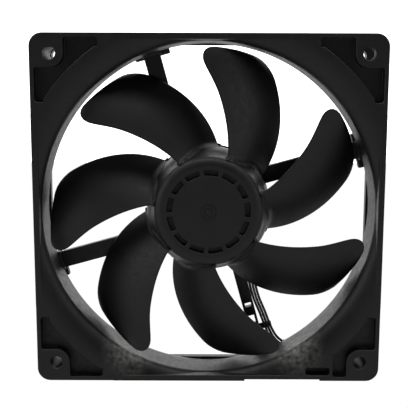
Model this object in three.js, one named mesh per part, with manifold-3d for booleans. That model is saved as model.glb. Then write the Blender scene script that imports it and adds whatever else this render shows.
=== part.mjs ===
// Case fan, 140 mm square and 25 mm deep, with a seven-blade impeller and a three-wire lead.
//
// Lengths are millimetres. The fan stands on its bottom edge: +Z is up, the intake faces -Y and
// the origin is the middle of the bottom edge. Its own pieces are drawn in a fan frame whose
// x runs right, y up and z forward from the rear face, with the impeller's axis as the z axis.

import * as THREE from 'three';
import { mergeVertices } from 'three/addons/utils/BufferGeometryUtils.js';
import Module from 'manifold-3d';

const wasm = await Module();
wasm.setup();

// Frame
const SIDE = 140;
const DEPTH = 25;
const HALF = SIDE / 2;
const CORNER_RADIUS = 5.2;
const HOLE_PITCH = 124.5;
const HOLE_RADIUS = 2.5;
const FLANGE = 5;
const OPENING_HALF = 67.6;
const OUTLET_HALF = 66.5;
const OUTLET_LIP = 3.5;
const THROAT_FRONT_Z = 19.5;
const THROAT_REAR_Z = 7;
const THROAT_RADIUS = 67.3;
const THROAT_REAR_RADIUS = 67.05;
const INLET_RADIUS = 77;
const OUTLET_RADIUS = 71;
const OUTLET_STEPS = 3;
const INLET_STEPS = 5;
const DUCT_OUTER_RADIUS = 69.4;
const DUCT_REAR_FLARE = 4.2;
const DUCT_FRONT_FLARE = 3;
const DUCT_WAIST_FROM_Z = 9.2;
const DUCT_WAIST_TO_Z = 14.6;
const DUCT_FLARE_Z = 17;
const RIDGE_RADIUS = 78.6;
const RIDGE_BACKING = 1.4;
const BEYOND = 1;
const DUCT_SEGMENTS = 60;

// Pockets in the front corners
const POCKET_WALL = 1.65;
const POCKET_DEPTH = 4.2;
const POCKET_REACH = 26.75;
const POCKET_SHORT_REACH = 18.8;
const POCKET_END_RADIUS = 1.3;
const BOSS_SIZE = 13.2;
const BOSS_RADIUS = 5.4;
const BOSS_CENTRE = HALF - HOLE_PITCH / 2;

// Blind slot for a lead hook, and the shallow recess under the frame
const SLOT_CENTRE = [45, -66, 0];
const SLOT_HALF = [5, 1.65];
const SLOT_CORNER = 1.2;
const SLOT_DEPTH = 4.2;
const RECESS_FROM_X = 15;
const RECESS_TO_X = 46;
const RECESS_DEPTH = 0.7;
const RECESS_WIDTH = 8;

// Struts, motor base and bearing tube
const STRUT_ANGLE = 15.4;
const STRUT_OFFSET = 6.2;
const STRUT_WIDTH = 7;
const STRUT_HEIGHT = 3.4;
const STRUT_START = 24;
const STRUT_END = 69;
const STRUT_WALL = 1.2;
const STRUT_HOLLOW = [27, 63];
const ROOT_START = 65.9;
const ROOT_SIDE = 0.6;
const ROOT_HEIGHT = 6.2;
const PAD_START = 65.3;
const PAD_SIDES = [4.2, 3.6];
const LADDER_SIDE = 1.4;
const LADDER_RAIL = 1.1;
const LADDER_WINDOWS = [[45.4, 47.2], [51.2, 55.2]];
const WIRE_RESTS = [[34, 37], [56.4, 59]];
const REST_REACH = 5.2;
const REST_HEIGHT = 0.8;
const WIRE_STRUT = 3;
const BASE_RADIUS = 26;
const BASE_HEIGHT = 2.4;
const TUBE_RADIUS = 5;
const TUBE_BORE = 4.2;
const TUBE_TOP = 17.2;
const TUBE_FLOOR = 1.7;
const LABEL_RADIUS = 15.4;
const LABEL_RECESS = 0.8;
const LABEL_REAR_Z = 0.15;
const CHANNEL_ALONG = [16.8, 28];
const CHANNEL_ACROSS = [7.1, 12.6];
const CHANNEL_FLOOR = 0.9;

// Impeller
const BLADES = 7;
const BLADE_TIP = 65;
const BLADE_ROOT = 22;
const BLADE_FRONT_Z = 21.6;
const BLADE_REAR_Z = 5.1;
const BLADE_CAMBER = 0.34;
const BLADE_TRAILING_ROUND = 6;
const BLADE_LEADING_ROUND = 7;
const BLADE_HALF_MIN = 0.45;
const BLADE_HALF_SWELL = 0.5;
const HUB_RADIUS = 25.5;
const HUB_FRONT_Z = 24.4;
const HUB_REAR_Z = 3.9;
const HUB_INNER_FRONT_Z = 21.4;
const HUB_SHELF_Z = 14;
const HUB_BORE = 21.1;
const HUB_SKIRT_BORE = 23.9;
const HUB_RIBS = 7;
const HUB_RIB_HALF = 0.5;
const HUB_SEGMENTS = 42;
const BALANCE_POCKETS = 13;
const BALANCE_POCKET_RADIUS = 15.75;
const BALANCE_POCKET_WIDTH = 2.3;
const BALANCE_POCKET_SPAN = 23;
const BALANCE_POCKET_DEPTH = 2.4;
const BALANCE_POCKET_FIRST = 86.5;

// Motor
const SHAFT_RADIUS = 1.5;
const SHAFT_REAR_Z = 2;
const SHAFT_FRONT_Z = 23;
const BEARING_BORE = 1.8;
const BEARING_RADIUS = 3.9;
const CLIP_GROOVE = [2.55, 3.45];
const CLIP_GROOVE_RADIUS = 1;
const CLIP_HALF_GAP = 0.7;
const SPRING_WIRE = 0.6;
const YOKE_OUTER = 20.8;
const YOKE_INNER = 19.9;
const YOKE_BORE = 4.3;
const YOKE_REAR_Z = 5.2;
const YOKE_FRONT_Z = 21.1;
const YOKE_WALL = 0.9;
const STACK_REAR_Z = 7.5;
const STACK_FRONT_Z = 14.5;
const POLES = 4;
const FIRST_POLE = 45;
const SHOE_RADIUS = 17.2;
const SHOE_INNER = 15.2;
const TOOTH_HALF = 1.6;
const CORE_RING_RADIUS = 7.5;
const CORE_BORE = 5.3;
const SHOE_HALF_ANGLE = 38;
const COIL_FROM = 8.4;
const COIL_TO = 14.4;
const COIL_HALF = [4.4, 6.1];
const COIL_CORNER = 1.6;
const COIL_HOLE_HALF = 4.85;
const BOARD_REAR_Z = 3.2;
const BOARD_FRONT_Z = 4.4;
const BOARD_RADIUS = 20.5;
const BOARD_PART_Z = 4.7;
const GAP = 0.3;

// Lead
const WIRE_DIAMETER = 1.1;
const WIRE_PITCH = 1.4;
const LEAD_DIAMETER = 2.3;
const GROOVE_DEPTH = 4.2;
const COIL_CENTRE = [55.9, 28.3];
const COIL_MIDDLE_RADIUS = 11.5;

const rad = THREE.MathUtils.degToRad;

/** A closed manifold solid from a three.js geometry, with its faces pointing out. */
function solid(geometry) {
  const bare = geometry.clone();
  bare.deleteAttribute('normal');
  bare.deleteAttribute('uv');
  const merged = mergeVertices(bare, 1e-4);
  const points = merged.attributes.position.array;
  const corners = merged.index.array;
  const faces = [];
  let volume = 0;
  for (let i = 0; i < corners.length; i += 3) {
    const [a, b, c] = [corners[i], corners[i + 1], corners[i + 2]];
    if (a === b || b === c || c === a) continue;
    faces.push(a, b, c);
    const [p, q, r] = [a, b, c].map((k) => new THREE.Vector3().fromArray(points, 3 * k));
    volume += p.dot(q.cross(r));
  }
  if (volume < 0) faces.reverse();
  const mesh = { numProp: 3, vertProperties: Float32Array.from(points), triVerts: Uint32Array.from(faces) };
  return new wasm.Manifold(new wasm.Mesh(mesh));
}

/** The three.js geometry of a manifold solid. */
function geometryOf(body) {
  const mesh = body.getMesh();
  const geometry = new THREE.BufferGeometry();
  geometry.setAttribute('position', new THREE.BufferAttribute(mesh.vertProperties, 3));
  geometry.setIndex(new THREE.BufferAttribute(mesh.triVerts, 1));
  geometry.computeVertexNormals();
  return geometry;
}

/** A solid of revolution about z from [radius, z] pairs. */
function turned(profile, segments = 32) {
  const points = profile.map(([radius, z]) => new THREE.Vector2(radius, z));
  return solid(new THREE.LatheGeometry(points, segments).rotateX(Math.PI / 2));
}

/** A turned tube or washer. */
function ring(inner, outer, rear, front, segments = 32) {
  const profile = [[inner, rear], [outer, rear], [outer, front], [inner, front], [inner, rear]];
  return turned(profile, segments);
}

/** A turned disc or pin. */
function disc(radius, rear, front, segments = 32) {
  return turned([[0, rear], [radius, rear], [radius, front], [0, front]], segments);
}

/** A flat outline made thick along z. */
function slab(shape, rear, front, curveSegments = 8) {
  const options = { depth: front - rear, bevelEnabled: false, curveSegments };
  return solid(new THREE.ExtrudeGeometry(shape, options).translate(0, 0, rear));
}

/** A box between two corners. */
function block([x0, y0, z0], [x1, y1, z1]) {
  const box = new THREE.BoxGeometry(x1 - x0, y1 - y0, z1 - z0);
  return solid(box.translate((x0 + x1) / 2, (y0 + y1) / 2, (z0 + z1) / 2));
}

/** A square outline with rounded corners, centred on the axis. */
function roundedSquare(half, radius) {
  const shape = new THREE.Shape();
  const straight = half - radius;
  for (let k = 0; k < 4; k += 1) {
    const [c, s] = [Math.round(Math.cos(rad(90 * k))), Math.round(Math.sin(rad(90 * k)))];
    const [x, y] = [straight * (c - s), straight * (s + c)];
    shape.absarc(x, y, radius, rad(90 * k), rad(90 * k + 90), false);
  }
  return shape;
}

/** A solid turned about z. */
function turn(body, degrees) {
  return body.rotate([0, 0, degrees]);
}

/** All the solids of a list joined into one. */
function joined(bodies) {
  return bodies.reduce((whole, body) => whole.add(body));
}

/** Points of a quarter ellipse from one radius and height to another, level at its far end. */
function bell(radiusFrom, zFrom, radiusTo, zTo, steps) {
  const points = [];
  for (let i = 0; i <= steps; i += 1) {
    const t = (Math.PI / 2) * (i / steps);
    points.push([radiusTo - (radiusTo - radiusFrom) * Math.cos(t), zFrom + (zTo - zFrom) * Math.sin(t)]);
  }
  return points;
}

/** The air space through the frame: outlet bell, bore and inlet bell, cut flat by square openings. */
function airSpace() {
  const outlet = bell(THROAT_REAR_RADIUS, THROAT_REAR_Z, OUTLET_RADIUS, 0, OUTLET_STEPS).reverse();
  const inlet = bell(THROAT_RADIUS, THROAT_FRONT_Z, INLET_RADIUS, DEPTH, INLET_STEPS);
  const profile = [
    [0, -BEYOND],
    [OUTLET_RADIUS, -BEYOND],
    ...outlet,
    ...inlet,
    [INLET_RADIUS, DEPTH + BEYOND],
    [0, DEPTH + BEYOND],
  ];
  const outletSquare = slab(roundedSquare(OUTLET_HALF, 1), -BEYOND, DEPTH + BEYOND, 2);
  const mainSquare = slab(roundedSquare(OPENING_HALF, 1), OUTLET_LIP, DEPTH + BEYOND, 2);
  return turned(profile, DUCT_SEGMENTS).intersect(outletSquare.add(mainSquare));
}

/** The L-shaped pocket beside the screw boss of the top right corner. */
function cornerPocket(reachAlongTop, reachAlongSide) {
  const wall = HALF - POCKET_WALL;
  const boss = HALF - BOSS_SIZE;
  const centre = HALF - BOSS_CENTRE;
  const topEnd = HALF - reachAlongTop;
  const sideEnd = HALF - reachAlongSide;
  const r = POCKET_END_RADIUS;
  const arcAt = (distance) => Math.sqrt(RIDGE_RADIUS ** 2 - distance ** 2);
  const topAngle = Math.atan2(arcAt(topEnd + r), topEnd + r);
  const sideAngle = Math.atan2(sideEnd + r, arcAt(sideEnd + r));
  const shape = new THREE.Shape();
  shape.moveTo(boss, wall);
  shape.lineTo(topEnd + r, wall);
  shape.absarc(topEnd + r, wall - r, r, rad(90), rad(180), false);
  shape.lineTo(topEnd, Math.min(wall - r, arcAt(topEnd + r) + 0.1));
  shape.absarc(0, 0, RIDGE_RADIUS, topAngle, sideAngle, true);
  shape.lineTo(Math.min(wall - r, arcAt(sideEnd + r) + 0.1), sideEnd);
  shape.absarc(wall - r, sideEnd + r, r, rad(270), rad(360), false);
  shape.lineTo(wall, boss);
  shape.lineTo(centre, boss);
  shape.absarc(centre, centre, BOSS_RADIUS, rad(270), rad(180), true);
  shape.lineTo(boss, wall);
  return slab(shape, DEPTH - POCKET_DEPTH, DEPTH + BEYOND, 5);
}

/** Everything cut near the corners: pockets, screw holes, the blind slot and the recess. */
function cornerCuts() {
  const cuts = [];
  const centre = HALF - BOSS_CENTRE;
  for (let k = 0; k < 4; k += 1) {
    const sideReach = k === 3 ? POCKET_SHORT_REACH : POCKET_REACH;
    const hole = disc(HOLE_RADIUS, -BEYOND, DEPTH + BEYOND, 14).translate([centre, centre, 0]);
    cuts.push(turn(cornerPocket(POCKET_REACH, sideReach).add(hole), 90 * k));
  }
  const slot = slab(roundedBox(...SLOT_HALF, SLOT_CORNER), DEPTH - SLOT_DEPTH, DEPTH + BEYOND, 3);
  cuts.push(slot.translate(SLOT_CENTRE));
  const recessLow = [RECESS_FROM_X, -HALF - BEYOND, DEPTH - RECESS_WIDTH];
  cuts.push(block(recessLow, [RECESS_TO_X, -HALF + RECESS_DEPTH, DEPTH + BEYOND]));
  return joined(cuts);
}

/** The outside of the frame: two square flanges joined by the round duct. */
function frameBody() {
  const flare = [
    [0, 0],
    [DUCT_OUTER_RADIUS + DUCT_REAR_FLARE, 0],
    [DUCT_OUTER_RADIUS + DUCT_REAR_FLARE, FLANGE + 0.4],
    [DUCT_OUTER_RADIUS, DUCT_WAIST_FROM_Z],
    [DUCT_OUTER_RADIUS, DUCT_WAIST_TO_Z],
    [DUCT_OUTER_RADIUS + DUCT_FRONT_FLARE, DUCT_FLARE_Z],
    [RIDGE_RADIUS + RIDGE_BACKING, DEPTH - FLANGE - 0.6],
    [RIDGE_RADIUS + RIDGE_BACKING, DEPTH],
    [0, DEPTH],
  ];
  const square = roundedSquare(HALF, CORNER_RADIUS);
  const duct = turned(flare, DUCT_SEGMENTS).intersect(slab(square, 0, DEPTH, 4));
  return joined([duct, slab(square, 0, FLANGE, 4), slab(square, DEPTH - FLANGE, DEPTH, 4)]);
}

/** A point beside a strut's own line: along it, and across it to its left. */
function besideStrut(k, along, across) {
  const angle = rad(STRUT_ANGLE + 90 * k);
  const x = along * Math.cos(angle) - across * Math.sin(angle);
  const y = along * Math.sin(angle) + across * Math.cos(angle);
  return [x, y];
}

/** A bar in a strut's own directions. */
function strutBar(k, [along0, along1], [across0, across1], [rear, front]) {
  return turn(block([along0, across0, rear], [along1, across1, front]), STRUT_ANGLE + 90 * k);
}

/** The thick block at the duct that a strut ends in. */
function strutRoot(k, low, high) {
  return strutBar(k, [ROOT_START, STRUT_END], [low - ROOT_SIDE, high + ROOT_SIDE], [0, ROOT_HEIGHT]);
}

/** A plain strut: a bar hollowed from behind, with a flat pad on the duct wall at its end. */
function plainStrut(k) {
  const [low, high] = [STRUT_OFFSET - STRUT_WIDTH / 2, STRUT_OFFSET + STRUT_WIDTH / 2];
  const inside = [low + STRUT_WALL, high - STRUT_WALL];
  const bar = strutBar(k, [STRUT_START, STRUT_END], [low, high], [0, STRUT_HEIGHT]);
  const hollow = strutBar(k, STRUT_HOLLOW, inside, [-BEYOND, STRUT_HEIGHT - STRUT_WALL]);
  const padAcross = [low - PAD_SIDES[0], high + PAD_SIDES[1]];
  const pad = strutBar(k, [PAD_START, STRUT_END], padAcross, [0, STRUT_HEIGHT]);
  return joined([bar.subtract(hollow), pad, strutRoot(k, low, high)]);
}

/** The strut that carries the wires: an open ladder with two rests behind the wires. */
function wireStrut() {
  const k = WIRE_STRUT;
  const [low, high] = [STRUT_OFFSET - STRUT_WIDTH / 2, STRUT_OFFSET + LADDER_SIDE];
  const bar = strutBar(k, [STRUT_START, STRUT_END], [low, high], [0, STRUT_HEIGHT]);
  const windows = LADDER_WINDOWS.map((ends) =>
    strutBar(k, ends, [low + LADDER_RAIL, high - LADDER_RAIL], [-BEYOND, STRUT_HEIGHT + BEYOND]));
  const rests = WIRE_RESTS.map((ends) =>
    strutBar(k, ends, [high - LADDER_RAIL / 2, high + REST_REACH], [0, REST_HEIGHT]));
  return joined([bar.subtract(joined(windows)), ...rests, strutRoot(k, low, high)]);
}

/** The disc that carries the motor, with its bearing tube, label recess and wire channel. */
function motorBase() {
  const plate = disc(BASE_RADIUS, 0, BASE_HEIGHT, 36);
  const tube = disc(TUBE_RADIUS, 0, TUBE_TOP, 18);
  const bore = disc(TUBE_BORE, TUBE_FLOOR, TUBE_TOP + BEYOND, 18);
  const recess = disc(LABEL_RADIUS + GAP, -BEYOND, LABEL_RECESS, 28);
  const channel = strutBar(WIRE_STRUT, CHANNEL_ALONG, CHANNEL_ACROSS, [CHANNEL_FLOOR, BASE_HEIGHT + BEYOND]);
  return joined([plate, tube]).subtract(joined([bore, recess, channel]));
}

// The wires leave the strut, turn through the duct wall and end at the grommet.
const WIRE_ROUTE = [
  [...besideStrut(WIRE_STRUT, 19.6, 9.8), 2],
  [...besideStrut(WIRE_STRUT, 28, 9.8), 2],
  [...besideStrut(WIRE_STRUT, 36, 9.8), 2],
  [...besideStrut(WIRE_STRUT, 44, 10.1), 2.1],
  [...besideStrut(WIRE_STRUT, 51, 11.1), 2.2],
  [27.6, -54.9, 2.2],
  [29.4, -58.3, 2.1],
  [31.6, -60.9, 2.1],
];
const GROMMET_CENTRE = [33.5, -62.1];
const GROMMET_TURN = -30;
const GROMMET_LENGTH = 3.4;
const GROMMET_WIDTH = 4.6;
const GROMMET_REAR_Z = 0.4;
const GROMMET_FRONT_Z = 3.8;
const GROMMET_CORNER = 0.5;
const GROOVE_ENTRY_CENTRE = [32.4, -61.2, 0];
const GROOVE_ENTRY_TURN = -50;
const GROOVE_ENTRY_ALONG = [-8, 1.6];
const GROOVE_EXIT_END = 9.6;

/** The groove in the rear flange through which the wires and the lead leave. */
function leadGroove() {
  const halfWidth = GROMMET_WIDTH / 2 + GAP;
  const [entryFrom, entryTo] = GROOVE_ENTRY_ALONG;
  const exit = block([-GROMMET_LENGTH, -halfWidth, -BEYOND], [GROOVE_EXIT_END, halfWidth, GROOVE_DEPTH]);
  const entry = block([entryFrom, -halfWidth, -BEYOND], [entryTo, halfWidth, GROOVE_DEPTH]);
  const turnedExit = turn(exit, GROMMET_TURN).translate([...GROMMET_CENTRE, 0]);
  return turnedExit.add(turn(entry, GROOVE_ENTRY_TURN).translate(GROOVE_ENTRY_CENTRE));
}

/** The whole frame moulding. */
function fanFrame() {
  const shell = frameBody().subtract(airSpace());
  const struts = [plainStrut(0), plainStrut(1), plainStrut(2), wireStrut()];
  const whole = joined([shell, ...struts, motorBase()]);
  return whole.subtract(cornerCuts()).subtract(leadGroove());
}

/** The angle of a blade's leading edge at a radius, in degrees. */
function leadingEdge(radius) {
  const d = radius - 25;
  const forward = 0.8 * THREE.MathUtils.smoothstep(radius, 46, 58);
  return 72.2 + 0.66 * d - 0.0029 * d * d + forward;
}

/** The angle of a blade's trailing edge at a radius, in degrees. */
function trailingEdge(radius) {
  return 34.2 + 0.975 * (radius - 30);
}

/** How far a rounded tip corner draws an edge in at a radius, in degrees. */
function tipRound(radius, round) {
  const past = Math.max(0, radius - (BLADE_TIP - round));
  return (round - Math.sqrt(Math.max(0, round ** 2 - past ** 2))) * (180 / Math.PI) / radius;
}

/** A blade: a thin block whose points are laid on a twisted, cambered sheet. */
function blade() {
  const [chordSteps, spanSteps] = [6, 8];
  const spans = [0, 0.18, 0.38, 0.58, 0.76, 0.88, 0.94, 0.98, 1];
  const box = new THREE.BoxGeometry(1, 1, 1, chordSteps, spanSteps, 1);
  const points = box.attributes.position;
  for (let i = 0; i < points.count; i += 1) {
    const chord = points.getX(i) + 0.5;
    const span = spans[Math.round((points.getY(i) + 0.5) * spanSteps)];
    const side = points.getZ(i) * 2;
    const radius = BLADE_ROOT + (BLADE_TIP - BLADE_ROOT) * span;
    const rear = trailingEdge(radius) + tipRound(radius, BLADE_TRAILING_ROUND);
    const front = leadingEdge(radius) - tipRound(radius, BLADE_LEADING_ROUND);
    const rise = chord + BLADE_CAMBER * chord * (1 - chord);
    const slope = 1 + BLADE_CAMBER * (1 - 2 * chord);
    const arcLength = rad(front - rear) * radius;
    const depth = BLADE_FRONT_Z - BLADE_REAR_Z;
    const normal = new THREE.Vector2(-depth * slope, arcLength).normalize();
    const swell = Math.sin(Math.PI * Math.min(1, chord + 0.06)) * (1.2 - 0.5 * span);
    const half = side * (BLADE_HALF_MIN + BLADE_HALF_SWELL * swell);
    const angle = rad(rear + (front - rear) * chord) + (half * normal.x) / radius;
    const z = BLADE_REAR_Z + depth * rise + half * normal.y;
    points.setXYZ(i, radius * Math.cos(angle), radius * Math.sin(angle), z);
  }
  return solid(box);
}

/** The arc-shaped pockets in the hub's face that take balancing weights. */
function balancePockets() {
  const pockets = [];
  const [inner, outer] = [-0.5, 0.5].map((half) => BALANCE_POCKET_RADIUS + half * BALANCE_POCKET_WIDTH);
  for (let k = 0; k < BALANCE_POCKETS; k += 1) {
    const middle = BALANCE_POCKET_FIRST + (360 / BALANCE_POCKETS) * k;
    const [from, to] = [middle - BALANCE_POCKET_SPAN / 2, middle + BALANCE_POCKET_SPAN / 2];
    const shape = new THREE.Shape();
    shape.absarc(0, 0, outer, rad(from), rad(to), false);
    shape.absarc(0, 0, inner, rad(to), rad(from), true);
    pockets.push(slab(shape, HUB_FRONT_Z - BALANCE_POCKET_DEPTH, HUB_FRONT_Z + BEYOND, 2));
  }
  return joined(pockets);
}

/** The impeller moulding: hub, skirt and blades. */
function impeller() {
  const outside = [
    [0, HUB_REAR_Z], [HUB_RADIUS, HUB_REAR_Z], [HUB_RADIUS, 12.4], [24.6, 15.6], [23.2, 18.4],
    [22.4, 20.8], [22.1, 22.4], [20.9, 23.7], [18.8, HUB_FRONT_Z], [0, HUB_FRONT_Z],
  ];
  const inside = [
    [0, 0], [HUB_SKIRT_BORE, 0], [HUB_SKIRT_BORE, HUB_SHELF_Z], [HUB_BORE, HUB_SHELF_Z + 2],
    [HUB_BORE, HUB_INNER_FRONT_Z], [0, HUB_INNER_FRONT_Z],
  ];
  const blades = [];
  for (let k = 0; k < BLADES; k += 1) blades.push(turn(blade(), (360 / BLADES) * k));
  const ribs = [];
  for (let k = 0; k < HUB_RIBS; k += 1) {
    const low = [HUB_BORE, -HUB_RIB_HALF, HUB_REAR_Z + 1.5];
    const high = [HUB_SKIRT_BORE + 0.5, HUB_RIB_HALF, HUB_SHELF_Z + BEYOND];
    ribs.push(turn(block(low, high), (360 / HUB_RIBS) * k));
  }
  const shaftHole = disc(BEARING_BORE, HUB_INNER_FRONT_Z - BEYOND, SHAFT_FRONT_Z + GAP, 16);
  const shell = joined([turned(outside, HUB_SEGMENTS), ...blades]).subtract(turned(inside, HUB_SEGMENTS));
  return joined([shell, ...ribs]).subtract(balancePockets()).subtract(shaftHole);
}

/** The outline of the stator's four-pole core. */
function coreOutline() {
  const shape = new THREE.Shape();
  const footAngle = (Math.asin(TOOTH_HALF / SHOE_INNER) * 180) / Math.PI;
  const rootAngle = (Math.asin(TOOTH_HALF / CORE_RING_RADIUS) * 180) / Math.PI;
  for (let k = 0; k < POLES; k += 1) {
    const middle = FIRST_POLE + (360 / POLES) * k;
    const next = middle + 360 / POLES;
    shape.absarc(0, 0, SHOE_RADIUS, rad(middle - SHOE_HALF_ANGLE), rad(middle + SHOE_HALF_ANGLE), false);
    shape.absarc(0, 0, SHOE_INNER, rad(middle + SHOE_HALF_ANGLE), rad(middle + footAngle), true);
    shape.absarc(0, 0, CORE_RING_RADIUS, rad(middle + rootAngle), rad(next - rootAngle), false);
    shape.absarc(0, 0, SHOE_INNER, rad(next - footAngle), rad(next - SHOE_HALF_ANGLE), true);
  }
  return shape;
}

/** A stator plate of the core's outline, bored for the bearing tube. */
function statorPlate(rear, front) {
  const bore = disc(CORE_BORE, rear - BEYOND, front + BEYOND, 16);
  return slab(coreOutline(), rear, front, 3).subtract(bore);
}

/** A rounded rectangle outline, centred. */
function roundedBox(halfWidth, halfHeight, radius) {
  const shape = new THREE.Shape();
  const [x, y] = [halfWidth - radius, halfHeight - radius];
  shape.absarc(x, y, radius, 0, rad(90), false);
  shape.absarc(-x, y, radius, rad(90), rad(180), false);
  shape.absarc(-x, -y, radius, rad(180), rad(270), false);
  shape.absarc(x, -y, radius, rad(270), rad(360), false);
  return shape;
}

/** A coil of wire round one tooth of the stator. */
function poleCoil(k) {
  const middleZ = (STACK_REAR_Z + STACK_FRONT_Z) / 2;
  const winding = roundedBox(...COIL_HALF, COIL_CORNER);
  winding.holes.push(roundedBox(TOOTH_HALF + GAP + 0.1, COIL_HOLE_HALF, 0.4));
  const upright = slab(winding, COIL_FROM, COIL_TO, 2).rotate([0, 90, 0]).rotate([90, 0, 0]);
  return turn(upright.translate([0, 0, middleZ]), FIRST_POLE + (360 / POLES) * k);
}

/** A round bar along a route of [x, y, z] points. */
function cordAlong(route, diameter, sides, steps) {
  const path = new THREE.CatmullRomCurve3(route.map((p) => new THREE.Vector3(...p)), false, 'centripetal');
  const section = new THREE.Shape();
  const corners = [];
  for (let i = 0; i < sides; i += 1) {
    const angle = (2 * Math.PI * i) / sides;
    corners.push(new THREE.Vector2((diameter / 2) * Math.cos(angle), (diameter / 2) * Math.sin(angle)));
  }
  section.setFromPoints(corners);
  return solid(new THREE.ExtrudeGeometry(section, { steps, extrudePath: path, bevelEnabled: false }));
}

/** The three wires' routes side by side: the middle route moved across itself. */
function besideRoute(route, distance) {
  return route.map(([x, y, z], i) => {
    const before = route[Math.max(0, i - 1)];
    const after = route[Math.min(route.length - 1, i + 1)];
    const along = new THREE.Vector2(after[0] - before[0], after[1] - before[1]).normalize();
    return [x - along.y * distance, y + along.x * distance, z];
  });
}

/** The spring between the bearings. */
function preloadSpring() {
  const [turns, perTurn, radius, rear, front] = [4, 8, 3, 8.3, 12.5];
  const route = [];
  for (let i = 0; i <= turns * perTurn; i += 1) {
    const angle = (2 * Math.PI * i) / perTurn;
    const z = rear + ((front - rear) * i) / (turns * perTurn);
    route.push([radius * Math.cos(angle), radius * Math.sin(angle), z]);
  }
  return cordAlong(route, SPRING_WIRE, 5, turns * perTurn);
}

/** The steel spindle, with the groove for its clip. */
function shaft() {
  const [r, groove, ease] = [SHAFT_RADIUS, CLIP_GROOVE_RADIUS, 0.3];
  const [grooveRear, grooveFront] = CLIP_GROOVE;
  return turned([
    [0, SHAFT_REAR_Z], [r - ease, SHAFT_REAR_Z], [r, SHAFT_REAR_Z + ease], [r, grooveRear],
    [groove, grooveRear], [groove, grooveFront], [r, grooveFront],
    [r, SHAFT_FRONT_Z - ease], [r - ease, SHAFT_FRONT_Z], [0, SHAFT_FRONT_Z],
  ], 14);
}

/** The open ring that keeps the spindle in its bearings. */
function retainingClip() {
  const [rear, front] = [CLIP_GROOVE[0] + GAP, CLIP_GROOVE[1] - GAP];
  const opening = block([0, -CLIP_HALF_GAP, rear - BEYOND], [4, CLIP_HALF_GAP, front + BEYOND]);
  return ring(CLIP_GROOVE_RADIUS + GAP, 3.2, rear, front, 16).subtract(opening);
}

/** The steel cup that carries the ring magnet. */
function rotorYoke() {
  const inside = YOKE_FRONT_Z - YOKE_WALL;
  return turned([
    [YOKE_BORE, inside], [YOKE_INNER, inside], [YOKE_INNER, YOKE_REAR_Z], [YOKE_OUTER, YOKE_REAR_Z],
    [YOKE_OUTER, YOKE_FRONT_Z], [YOKE_BORE, YOKE_FRONT_Z], [YOKE_BORE, inside],
  ], 36);
}

/** The circuit board: a disc with a bore round the bearing tube. */
function circuitBoard() {
  return ring(CORE_BORE + 0.1, BOARD_RADIUS, BOARD_REAR_Z, BOARD_FRONT_Z, 28);
}

/** A box on the board, placed by its middle. */
function boardPart([x, y], [width, length], front) {
  const low = [x - width / 2, y - length / 2, BOARD_PART_Z];
  return block(low, [x + width / 2, y + length / 2, front]);
}

/** The header that the three wires end at, under the board. */
function wireHeader() {
  const along = [CHANNEL_ALONG[0] + GAP + 0.1, 19.3];
  const across = [CHANNEL_ACROSS[0] + GAP + 0.1, CHANNEL_ACROSS[1] - GAP - 0.2];
  return strutBar(WIRE_STRUT, along, across, [CHANNEL_FLOOR + GAP, BOARD_REAR_Z - GAP]);
}

/** The rubber grommet in the groove. */
function grommet() {
  const [halfLength, halfWidth] = [GROMMET_LENGTH / 2, GROMMET_WIDTH / 2];
  const body = slab(roundedBox(halfLength, halfWidth, GROMMET_CORNER), GROMMET_REAR_Z, GROMMET_FRONT_Z, 3);
  return turn(body, GROMMET_TURN).translate([...GROMMET_CENTRE, 0]);
}

// The free lead, in the standing frame: out of the groove, back and down to the floor.
const LEAD_ROUTE = [
  [35.3, 10.4, 6.86],
  [36.6, 10.5, 6.1],
  [38.3, 11.4, 5.2],
  [39.5, 13.2, 4.5],
  [40, 15.6, 3.8],
  [40.5, 18.4, 2.5],
  [41.7, 21.9, 1.25],
];
// Over the top of the coil to the plug.
const LEAD_END_ROUTE = [
  [49.98, 18.62, 6.1],
  [48.86, 20.31, 6.15],
  [48.46, 22.3, 6.3],
  [48.86, 24.29, 6.55],
  [49.98, 25.98, 6.8],
];
const PLUG_FRONT = [58.7, 34.7];
const PLUG_TURN = 45;
const PLUG_SIZE = [12, 7.6, 4.6];
const PLUG_BOTTOM = 4.9;
const PLUG_RIB_RISE = 1;
const PLUG_RIBS = [-2, 2];
const CONTACT_PITCH = 2.54;
const SOCKET_START = 2;
const SOCKET_HALF = 0.75;
const SOCKET_FLOOR = 1;
const SOCKET_ROOF = 2.6;
const CONTACT_HALF = 0.4;
const CONTACT_SIDE_GAP = 0.35;
const CONTACT_END = -1.5;

/** The coil of the spare lead, as one ring of its outer shape. */
function leadCoil() {
  const half = LEAD_DIAMETER;
  const [inner, outer] = [COIL_MIDDLE_RADIUS - half, COIL_MIDDLE_RADIUS + half];
  const chamfer = 0.6;
  const height = 2 * LEAD_DIAMETER;
  const profile = [
    [inner + chamfer, 0], [outer - chamfer, 0], [outer, chamfer], [outer, height - chamfer],
    [outer - chamfer, height], [inner + chamfer, height], [inner, height - chamfer],
    [inner, chamfer], [inner + chamfer, 0],
  ];
  return turned(profile, 24).translate([...COIL_CENTRE, 0]);
}

/** The three-way plug on the end of the lead: a housing with open sockets and two guide ribs. */
function plugHousing() {
  const [length, width, height] = PLUG_SIZE;
  const roof = height - PLUG_RIB_RISE;
  const body = block([-length, -width / 2, 0], [0, width / 2, roof]);
  const ribs = PLUG_RIBS.map((y) => block([-length + 1.5, y - 0.5, roof - 0.2], [0, y + 0.5, height]));
  const sockets = [-1, 0, 1].map((k) => {
    const y = CONTACT_PITCH * k;
    const low = [-length + SOCKET_START, y - SOCKET_HALF, SOCKET_FLOOR];
    return block(low, [BEYOND, y + SOCKET_HALF, SOCKET_ROOF]);
  });
  const housing = joined([body, ...ribs]).subtract(joined(sockets));
  return turn(housing, PLUG_TURN).translate([...PLUG_FRONT, PLUG_BOTTOM]);
}

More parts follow.
